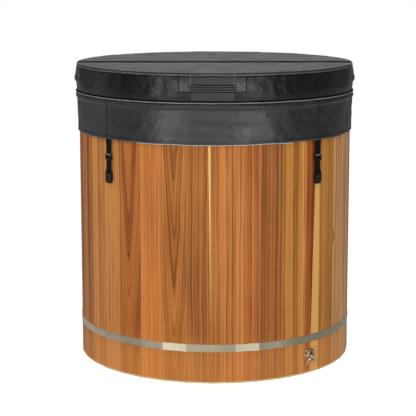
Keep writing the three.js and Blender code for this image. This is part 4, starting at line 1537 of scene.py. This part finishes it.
@dataclass
class CarryHandle:
    """A carrying handle on the cover's side: ribbed strap, sewn tabs and the panel behind them."""

    word: str
    angle: float
    body: str
    length: float = 0.241
    tab_length: float = 0.039
    seat: float = 0.0004
    bottom: float = 1.0755
    width: float = 0.0265
    thickness: float = 0.0026
    bow: float = 0.007
    tab_height: float = 0.055
    tab_thickness: float = 0.0026
    ribs: int = 3
    shade_outlined: bool = True

    def build(self) -> None:
        """Make the handle's pieces."""
        sides = (-1, 1)
        self._piece("grip", [self._strap(), *map(self._tab, sides)], SKIRT_VINYL, [f"{self.word}_handle"])
        self._piece("grip_stitches", [self._sewing(side) for side in sides], THREAD)
        # Painted shade on long handles: black cords round the tabs, dark copies of the sewn crosses as their shadows,
        # and cords between the strap's ribs.
        if self.shade_outlined:
            painted_stitch_shadows = [self._sewing(side, 0.0024, 0.0007) for side in sides]
            self._piece("grip_painted_shade", [*map(self._tab_outline_shade, sides), *painted_stitch_shadows, *self._grooves()], DARK_THREAD_AND_SHADE)

    def _piece(self, word: str, parts: Iterable[BMesh], finish: Finish, replaces: Sequence[str] = ()) -> None:
        """Join parts into one piece of the handle.

        Args:
            word: What the piece is called.
            parts: Its parts, as for a handle at the front.
            finish: Its finish.
            replaces: The CAD nodes that it stands for.
        """
        whole = moved(merged(parts), around(self.angle))
        make_piece(f"{self.word}_{word}", whole, finish, self.body, replaces)

    def _grooves(self) -> list[BMesh]:
        """Black cords laid as painted shade between the strap's ribs and along its edges."""
        free = self.length / 2 - self.tab_length
        out = TUB.side_radius_at(self.bottom + self.width / 2) + self.seat + self.thickness - 0.0014
        steps = [free * (step / 16 - 1) for step in range(33)]
        made = []
        for row in range(self.ribs + 1):
            level = self.bottom + 0.0003 + row / self.ribs * (self.width - 0.0006)
            made.append(tube([on_wall(along, out + self._bow(along), level) for along in steps], 0.0014, 1))
        return made

    def _tab_outline_shade(self, side: int) -> BMesh:
        """A black cord round the sides and foot of a tab, laid as painted shade where the tab stands off the panel.
        """
        middle = side * (self.length - self.tab_length) / 2
        half = self.tab_length / 2 + 0.0006
        low, high = self.bottom - 0.0006, self.bottom + self.tab_height

        def spot(along: float, height: float) -> Vector:
            """A point beside the tab."""
            return on_wall(middle + along, TUB.side_radius_at(height) + self.seat + 0.0008, height)

        levels = [low + (high - low) * step / 8 for step in range(9)]
        left = [spot(-half, level) for level in reversed(levels)]
        return tube(left + [spot(half, level) for level in levels], 0.0011, 1)

    def _bow(self, along: float) -> float:
        """How far the strap stands off at a distance from its middle."""
        free = self.length / 2 - self.tab_length
        share = min(abs(along) / free, 1.0)
        return self.bow * (1 - share**2) ** 2

    def _strap(self) -> BMesh:
        """The ribbed strap, bowed out between its tabs."""
        bm = slab(72, 40)

        def place(unit: Vector) -> Vector:
            """Where a corner of the unit block goes on the strap."""
            along = unit.x * (self.length / 2 - 0.001)
            rib = 0.0016 * abs(math.sin(math.pi * self.ribs * (unit.y + 1) / 2)) ** 0.6
            edge = 0.0007 * ease((abs(unit.y) - 0.9) / 0.1)
            level = self.bottom + 0.0003 + (unit.y + 1) / 2 * (self.width - 0.0006)
            curl = 1.0 if self.shade_outlined else 1.0 - unit.y**2
            out = TUB.side_radius_at(self.bottom + self.width / 2) + self.seat + self._bow(along) * curl
            under = ease((abs(along) - self.length / 2 + self.tab_length) / 0.004)
            thick = (self.thickness - 0.0014 + rib - edge) * (1 - 0.7 * under)
            return on_wall(along, out + unit.z * thick + (1 - unit.z) * edge * (1 - under), level)

        return shape(bm, place)

    def _tab(self, side: int) -> BMesh:
        """One sewn tab, on the left with -1 and on the right with 1."""
        bm = slab(12, 16)
        middle = side * (self.length - self.tab_length) / 2

        def place(unit: Vector) -> Vector:
            """Where a corner of the unit block goes on the tab."""
            level = self.bottom + (unit.y + 1) / 2 * self.tab_height
            rise = 0.0005 * (1 - max(abs(unit.x), abs(unit.y)) ** 6)
            out = TUB.side_radius_at(level) + self.seat
            thick = 1.0 if self.shade_outlined else 0.15 + 0.85 * ease((1 - abs(unit.x)) / 0.7)
            out += unit.z * (self.tab_thickness - 0.0005 + rise) * thick
            return on_wall(middle + unit.x * self.tab_length / 2, out, level)

        return soften(shape(bm, place), 0.0008)

    def _sewing(self, side: int, raised: float = 0.0, radius: float = 0.0011) -> BMesh:
        """The cross that is sewn through a tab.

        Args:
            side: -1 for the left tab and 1 for the right one.
            raised: How far the rows lie above the thread's own place.
            radius: Half the thread's thickness.

        Returns:
            The two rows.
        """
        middle = side * (self.length - self.tab_length) / 2
        half = self.tab_length / 2 - 0.0045
        low = self.bottom + 0.0035 + raised
        high = low + 0.03

        def spot(along: float, height: float) -> Vector:
            """A point on the tab's face."""
            return on_wall(middle + along, TUB.side_radius_at(height) + self.seat + self.tab_thickness, height)

        rows = [[spot(-half, low), spot(half, high)], [spot(half, low), spot(-half, high)]]
        return merged([stitches(row, radius=radius) for row in rows])


@dataclass
class HandlePanel:
    """The plain panel sewn to the cover's side behind a long handle."""

    half: Half
    angle: float = math.radians(-0.75)
    width: float = 0.163
    bottom: float = 1.0452
    top: float = 1.1395
    thickness: float = 0.0009
    welt_foot: float = 1.09

    def build(self) -> None:
        """Make the panel, light welts along its upright edges that carry a painted highlight, and black cords below
        them laid as painted shade.
        """
        bm = slab(48, 20)

        def place(unit: Vector) -> Vector:
            """Where a corner of the unit block goes on the panel."""
            level = self.bottom + (unit.y + 1) / 2 * (self.top - self.bottom)
            out = TUB.side_radius_at(level) + 0.0002 + unit.z * self.thickness
            return on_wall(unit.x * self.width / 2, out, level)

        shape(bm, place)
        turn = around(self.half.value + self.angle)
        make_piece(f"{self.half.word}_grip_panel", moved(bm, turn), SKIRT_VINYL, self.half.body)
        # The light welts carry a painted highlight along the panel's edges.
        welts = moved(self._edges(self.welt_foot, self.top), turn)
        make_piece(f"{self.half.word}_panel_welts", welts, WELT_AND_HIGHLIGHT, self.half.body)
        # Painted shade: black cords below the welts.
        shade_cords = moved(self._edges(self.bottom, self.welt_foot), turn)
        make_piece(f"{self.half.word}_panel_grooves", shade_cords, DARK_THREAD_AND_SHADE, self.half.body)

    def _edges(self, low: float, high: float) -> BMesh:
        """Two cords along the panel's upright edges.

        Args:
            low: Height of their lower ends.
            high: Height of their upper ends.

        Returns:
            The cords, as for a panel at the front.
        """
        levels = [low + (high - low) * step / 12 for step in range(13)]
        made = []
        for along in (-self.width / 2 + 0.002, self.width / 2 - 0.002):
            path = [on_wall(along, TUB.side_radius_at(level) + 0.0012, level) for level in levels]
            made.append(tube(path, 0.0011, 1))
        return merged(made)


@dataclass
class FoldStrip:
    """The vinyl strip in the valley between the cover's halves, which on the real cover bends as it folds; this one
    is made in its open shape and rides on no body.
    """

    reach: float = 0.536
    half_width: float = 0.0019
    depth: float = 0.0084
    thickness: float = 0.0012

    def build(self) -> None:
        """Make the strip as a piece of its own, on neither half."""
        bm = slab(160, 6)

        def place(unit: Vector) -> Vector:
            """Where a corner of the unit block goes in the valley."""
            sag = 0.001 * (1 - unit.y**2)
            level = TUB.cover_top - self.depth - sag - (1 - unit.z) * self.thickness
            squeeze = 1.0 - 0.25 * (1 - unit.z)
            return Vector((unit.x * self.reach, unit.y * self.half_width * squeeze, level))

        shape(bm, place)
        strip = make_piece("fold_strip", bm, VINYL, replaces=["fold_gusset"])
        level = TUB.cover_top - self.depth
        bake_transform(strip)


@dataclass
class HangingStrap:
    """A doubled strap at the hem, with its slide and the socket half of a buckle."""

    word: str
    angle: float
    fan: float
    width: float = 0.025
    layer: float = 0.0014
    bar_height: float = 0.764
    bar_radius: float = 0.0032
    slide_middle: float = 0.82
    slide_length: float = 0.024
    slide_travel: float = 0.03
    slide_bar: float = 0.0058
    half_inside: float = 0.0129
    half_outside: float = 0.0159
    buckle_top: float = 0.759
    buckle_bottom: float = 0.721

    def build(self) -> None:
        """Make the webbing, the slide and the buckle."""
        turn = around(self.angle)
        webbing = Woven(f"{self.word}_webbing", self.angle)
        word = self.word
        make_piece(f"{word}_webbing", moved(self._webbing(), turn), webbing, f"{word}_strap", [f"{word}_strap"])
        slide = make_piece(
            f"{word}_slide", moved(self._slide(), turn), PLASTIC, f"{word}_glide", [f"{word}_glide"]
        )
        # The upper front faces of the slide take the light grey copy: a painted highlight on the black bar.
        slide.data.materials.append(SLIDE_BAR_HIGHLIGHT.material())
        for face in slide.data.polygons:
            ahead = math.hypot(face.center.x, face.center.y) > TUB.skirt_radius + 0.0034
            face.material_index = int(ahead and face.center.z > self.slide_middle)
        make_piece(f"{word}_socket", moved(self._socket(), turn), PLASTIC, f"{word}_buckle", [f"{word}_buckle"])

    def _path(self, way: float) -> tuple[float, float, float]:
        """Where the webbing's middle runs: down in front, round the buckle's bar and up behind.

        Args:
            way: From 0 at the front layer's top to 1 at the back layer's top.

        Returns:
            Offset outwards, height, and the layer's sideways shift.
        """
        top = TUB.hem - 0.0004
        straight = top - self.bar_height
        arc = math.pi * self.bar_radius
        gone = way * (2 * straight + arc)
        if straight <= gone <= straight + arc:
            turn = (gone - straight) / self.bar_radius
            return self.bar_radius * math.cos(turn), self.bar_height - self.bar_radius * math.sin(turn), 0.0
        front = gone < straight
        down = gone if front else 2 * straight + arc - gone
        height = top - down
        spread = ease((self.bar_height + 0.016 - height) / 0.016)
        offset = 0.00085 + (self.bar_radius - 0.00085) * spread
        lift = ease((height - self.slide_middle - self.slide_travel - 0.0125) / 0.024)
        return (offset if front else -offset), height, (-1 if front else 1) * self.fan * lift

    def _webbing(self) -> BMesh:
        """The doubled webbing, whose two layers fan out a little above the slide."""
        bm = slab(14, 150)

        def place(unit: Vector) -> Vector:
            """Where a corner of the unit block goes on the webbing."""
            way = (unit.y + 1) / 2
            out, height, shift = self._path(way)
            ahead = self._path(min(way + 0.002, 1.0))
            behind = self._path(max(way - 0.002, 0.0))
            run = Vector((ahead[0] - behind[0], ahead[1] - behind[1])).normalized()
            edge = 1.0 - 0.35 * ease((abs(unit.x) - 0.8) / 0.2)
            thick = (unit.z - 0.5) * self.layer * edge
            curl = 0.0003 * math.sin(height * 90.0) * unit.x * ease((TUB.hem - height) / 0.02)
            return Vector(
                (
                    unit.x * self.width / 2 + shift,
                    -TUB.skirt_radius - (out - run.y * thick + curl),
                    height + run.x * thick,
                )
            )

        return shape(bm, place)

    def _plate(self, columns: Sequence[float], levels: Sequence[float], holes: Sequence[tuple[int, int]]) -> BMesh:
        """A flat plate of cells, some of them left open, with unit thickness from 0 to 1 along Y.

        Args:
            columns: Where the cells' sides are, along X.
            levels: Where their lower and upper edges are, along Z.
            holes: Column and row of each open cell.

        Returns:
            The plate.
        """
        bm = bmesh.new()
        wide, tall = len(columns) - 1, len(levels) - 1
        bmesh.ops.create_grid(bm, x_segments=wide, y_segments=tall, size=1.0)
        open_cells = []
        for face in bm.faces:
            middle = face.calc_center_median()
            cell = (int((middle.x + 1) / 2 * wide), int((middle.y + 1) / 2 * tall))
            if cell in holes:
                open_cells.append(face)
        if open_cells:
            bmesh.ops.delete(bm, geom=open_cells, context="FACES")
        for vert in bm.verts:
            column = round((vert.co.x + 1) / 2 * wide)
            level = round((vert.co.y + 1) / 2 * tall)
            vert.co = Vector((columns[column], 0.0, levels[level]))
        made = bmesh.ops.extrude_face_region(bm, geom=bm.faces[:], use_keep_orig=True)
        front = [part for part in made["geom"] if isinstance(part, BMVert)]
        bmesh.ops.translate(bm, verts=front, vec=(0.0, -1.0, 0.0))
        bmesh.ops.recalc_face_normals(bm, faces=bm.faces[:])
        return bm

    def _slide(self) -> BMesh:
        """The slide: two bars before the webbing and one behind it, between two posts."""
        low = self.slide_middle - self.slide_length / 2
        high = self.slide_middle + self.slide_length / 2
        bar = self.slide_bar
        levels = [low, low + bar, self.slide_middle - bar / 2, self.slide_middle + bar / 2, high - bar, high]
        columns = [-self.half_outside, -self.half_inside, self.half_inside, self.half_outside]
        bm = self._plate(columns, levels, [(1, 1), (1, 3)])

        def place(spot: Vector) -> Vector:
            """Weave the bars before and behind the webbing."""
            front = -spot.y
            in_post = abs(spot.x) > self.half_inside - 1e-6
            behind = abs(spot.z - self.slide_middle) < bar / 2 + 1e-6
            if in_post and abs(spot.x) > self.half_outside - 1e-6:
                out = -0.0044 + front * 0.0088
            elif behind:
                out = -0.0044 + front * 0.0024
            else:
                out = 0.002 + front * 0.0024
            return Vector((spot.x, -TUB.skirt_radius - out, spot.z))

        return soften(shape(bm, place), 0.0007, 3, 25.0)

    def _socket(self) -> BMesh:
        """The buckle's socket: a chamfered shell with a recessed face, hung from a bar between two arms."""
        outside, inside = self.half_outside, self.half_inside
        top, bottom = self.buckle_top, self.buckle_bottom
        toe = outside - 0.005
        columns = [-outside, -toe + 0.002, toe - 0.002, outside]
        levels = [bottom, bottom + 0.012, top - 0.006, top]
        bm = self._plate(columns, levels, [])

        def place(spot: Vector) -> Vector:
            """Chamfer the foot and give the shell its thickness."""
            across = spot.x
            if spot.z < bottom + 1e-6 and abs(across) > outside - 1e-6:
                across = math.copysign(toe, across)
            front = -spot.y
            slim = 0.0012 if spot.z < bottom + 1e-6 else 0.0
            out = (-0.005 + slim) + front * (0.01 - 2 * slim)
            return Vector((across, -TUB.skirt_radius - out, spot.z))

        shape(bm, place)
        faces = [
            face
            for face in bm.faces
            if face.normal.y < -0.9 and face.calc_center_median().z < top - 0.006
        ]
        bmesh.ops.inset_region(bm, faces=faces, thickness=0.0028, depth=0.0)
        bmesh.ops.translate(bm, verts=list({v for face in faces for v in face.verts}), vec=(0.0, 0.0012, 0.0))
        mouth = [face for face in bm.faces if face.normal.z < -0.7]
        bmesh.ops.inset_region(bm, faces=mouth, thickness=0.0019, depth=0.0)
        bmesh.ops.translate(bm, verts=list({v for face in mouth for v in face.verts}), vec=(0.0, 0.0, 0.02))
        soften(bm, 0.0007, 2, 30.0)
        arms = []
        for side in (-1, 1):
            arm = slab(2, 2)
            shape(
                arm,
                lambda unit: Vector(
                    (
                        side * (inside + (unit.x + 1) / 2 * (outside - inside)),
                        -TUB.skirt_radius + 0.004 - unit.z * 0.008,
                        top - 0.001 + (unit.y + 1) / 2 * (self.bar_height + 0.002 - top + 0.001),
                    )
                ),
            )
            arms.append(soften(arm, 0.0009, 2))
        rod = tube(
            [
                Vector((-inside - 0.001, -TUB.skirt_radius, self.bar_height)),
                Vector((inside + 0.001, -TUB.skirt_radius, self.bar_height)),
            ],
            0.002,
            3,
        )
        back = slab(2, 2)
        shape(
            back,
            lambda unit: Vector(
                (
                    unit.x * inside,
                    -TUB.skirt_radius + 0.0052 - unit.z * 0.0008,
                    top - 0.002 + (unit.y + 1) / 2 * (self.bar_height - top + 0.002),
                )
            ),
        )
        return merged([bm, *arms, rod, back])


@dataclass
class Studio:
    """The camera, the soft lights, the white floor and the world."""

    distance: float = 5.3724
    eye: float = 1.5618
    pitch: float = math.radians(8.849)
    lens: float = 118.27
    shift_x: float = -0.0158
    shift_y: float = -0.0998

    def build(self) -> None:
        """Set up the shot."""
        scene = bpy.context.scene
        scene.view_settings.view_transform = "Standard"
        self._camera()
        self._light("front box", (-0.2, -6.2, 1.2), (0.0, 0.0, 0.5), (2.2, 2.0), 42.0)
        self._light("left box", (-3.05, -4.45, 0.9), (0.0, 0.0, 0.4), (1.1, 1.7), 46.0)
        self._light("right box", (2.6, -4.75, 0.9), (0.0, 0.0, 0.4), (0.9, 1.7), 56.0)
        self._light("left fill", (-4.0, 0.7, 0.9), (0.0, 0.0, 0.8), (1.2, 1.6), 4.0)
        self._light("left side", (-3.4, -0.3, 3.4), (0.0, 0.0, 0.8), (0.9, 0.9), 28.0)
        self._light("right side", (3.4, -0.3, 3.6), (0.0, 0.0, 0.8), (0.9, 0.9), 13.0)
        self._light("boom", (-0.3, -2.6, 3.5), (0.0, -0.5, 1.0), (2.4, 0.5), 26.0)
        self._floor()
        self._world()

    def _camera(self) -> None:
        """Stand the camera where the photograph was taken from."""
        data = bpy.data.cameras.new("camera")
        data.lens = self.lens
        data.sensor_width = 36.0
        data.shift_x = self.shift_x
        data.shift_y = self.shift_y
        camera = bpy.data.objects.new("camera", data)
        camera.location = (0.0, -self.distance, self.eye)
        camera.rotation_euler = (math.pi / 2 - self.pitch, 0.0, 0.0)
        bpy.context.scene.collection.objects.link(camera)
        bpy.context.scene.camera = camera

    @staticmethod
    def _light(
        name: str, place: Sequence[float], aim: Sequence[float], size: tuple[float, float], watts: float
    ) -> None:
        """Hang one soft light.

        Args:
            name: Its name.
            place: Where it hangs.
            aim: The point that it faces.
            size: Its width and height, in metres.
            watts: Its power.
        """
        data = bpy.data.lights.new(name, "AREA")
        data.shape = "RECTANGLE"
        data.size, data.size_y = size
        data.energy = watts
        light = bpy.data.objects.new(name, data)
        light.location = place
        light.rotation_euler = (Vector(aim) - Vector(place)).to_track_quat("-Z", "Y").to_euler()
        bpy.context.scene.collection.objects.link(light)

    @staticmethod
    def _seen(graph: Graph) -> Socket:
        """1 for rays from the camera and for mirrored and refracted ones, and 0 for light that bounces."""
        path = graph.add("ShaderNodeLightPath").outputs
        rays = [Socket(graph, path[name]) for name in ("Is Camera Ray", "Is Glossy Ray", "Is Transmission Ray")]
        return graph.math("MAXIMUM", graph.math("MAXIMUM", rays[0], rays[1]), rays[2])

    @staticmethod
    def _from_camera(graph: Graph) -> Socket:
        """1 for rays straight from the camera."""
        return graph.node("ShaderNodeLightPath", output="Is Camera Ray")

    def _floor(self) -> None:
        """Lay the white floor, which keeps the object's shadow."""
        bm = bmesh.new()
        bmesh.ops.create_circle(bm, cap_ends=True, segments=96, radius=9.0)
        mesh = bpy.data.meshes.new("studio_floor")
        bm.to_mesh(mesh)
        bm.free()
        floor = bpy.data.objects.new("studio_floor", mesh)
        bpy.context.scene.collection.objects.link(floor)
        mesh.materials.append(bpy.data.materials.new("studio_floor"))
        graph = Graph(mesh.materials[0])
        diffuse = graph.node("ShaderNodeBsdfDiffuse", inputs={"Color": (0.8, 0.8, 0.8, 1.0)})
        aside = graph.math("ABSOLUTE", graph.axes()[0])
        dim = 0.2 - graph.between(aside, 0.5, 3.5) * 0.2
        level = graph.math("MAXIMUM", dim, self._from_camera(graph)) * 0.8
        glow = graph.node("ShaderNodeEmission", inputs={"Color": (1, 1, 1, 1), "Strength": level})
        bright = graph.node("ShaderNodeAddShader", inputs={0: diffuse, 1: glow})
        graph.close(graph.node("ShaderNodeMixShader", inputs={0: self._seen(graph), 1: diffuse, 2: bright}))

    def _world(self) -> None:
        """Surround the shot with a white sweep, dimmer behind the camera, and a softer level that lights."""
        world = bpy.data.worlds.new("studio")
        bpy.context.scene.world = world
        graph = Graph(world)
        toward = graph.node("ShaderNodeSeparateXYZ", inputs={0: graph.node("ShaderNodeTexCoord")}, output=1)
        room = graph.math("MAXIMUM", 0.15 + graph.between(toward, 0.9, 0.99) * 0.44, self._from_camera(graph))
        soft = graph.node("ShaderNodeBackground", inputs={"Color": (1, 1, 1, 1), "Strength": 0.3})
        white = graph.node("ShaderNodeBackground", inputs={"Color": (1, 1, 1, 1), "Strength": room})
        mixed = graph.node("ShaderNodeMixShader", inputs={0: self._seen(graph), 1: soft, 2: white})
        graph.close(mixed, "ShaderNodeOutputWorld")


def main() -> None:
    """Dress the tub and set up the shot."""
    logging.basicConfig(level=logging.INFO, format="%(message)s")
    Studio().build()
    Staves().dress()
    Floor().dress()
    Hoops().dress()
    drain = Drain()
    drain.dress()
    drain.build()
    for half in Half:
        CoverHalf(half).build()
        HandlePanel(half).build()
        CarryHandle(half.word, half.value + math.radians(-0.75), half.body).build()
    for word, side in (("left", -1), ("right", 1)):
        CarryHandle(
            word, side * math.radians(79), "front_cover", 0.15, 0.026, bow=0.0045, tab_thickness=0.0016, shade_outlined=False
        ).build()
    FoldStrip().build()
    HangingStrap("left", math.radians(-46.5), 0.002).build()
    HangingStrap("right", math.radians(45), -0.002).build()


if __name__ == "__main__":
    main()
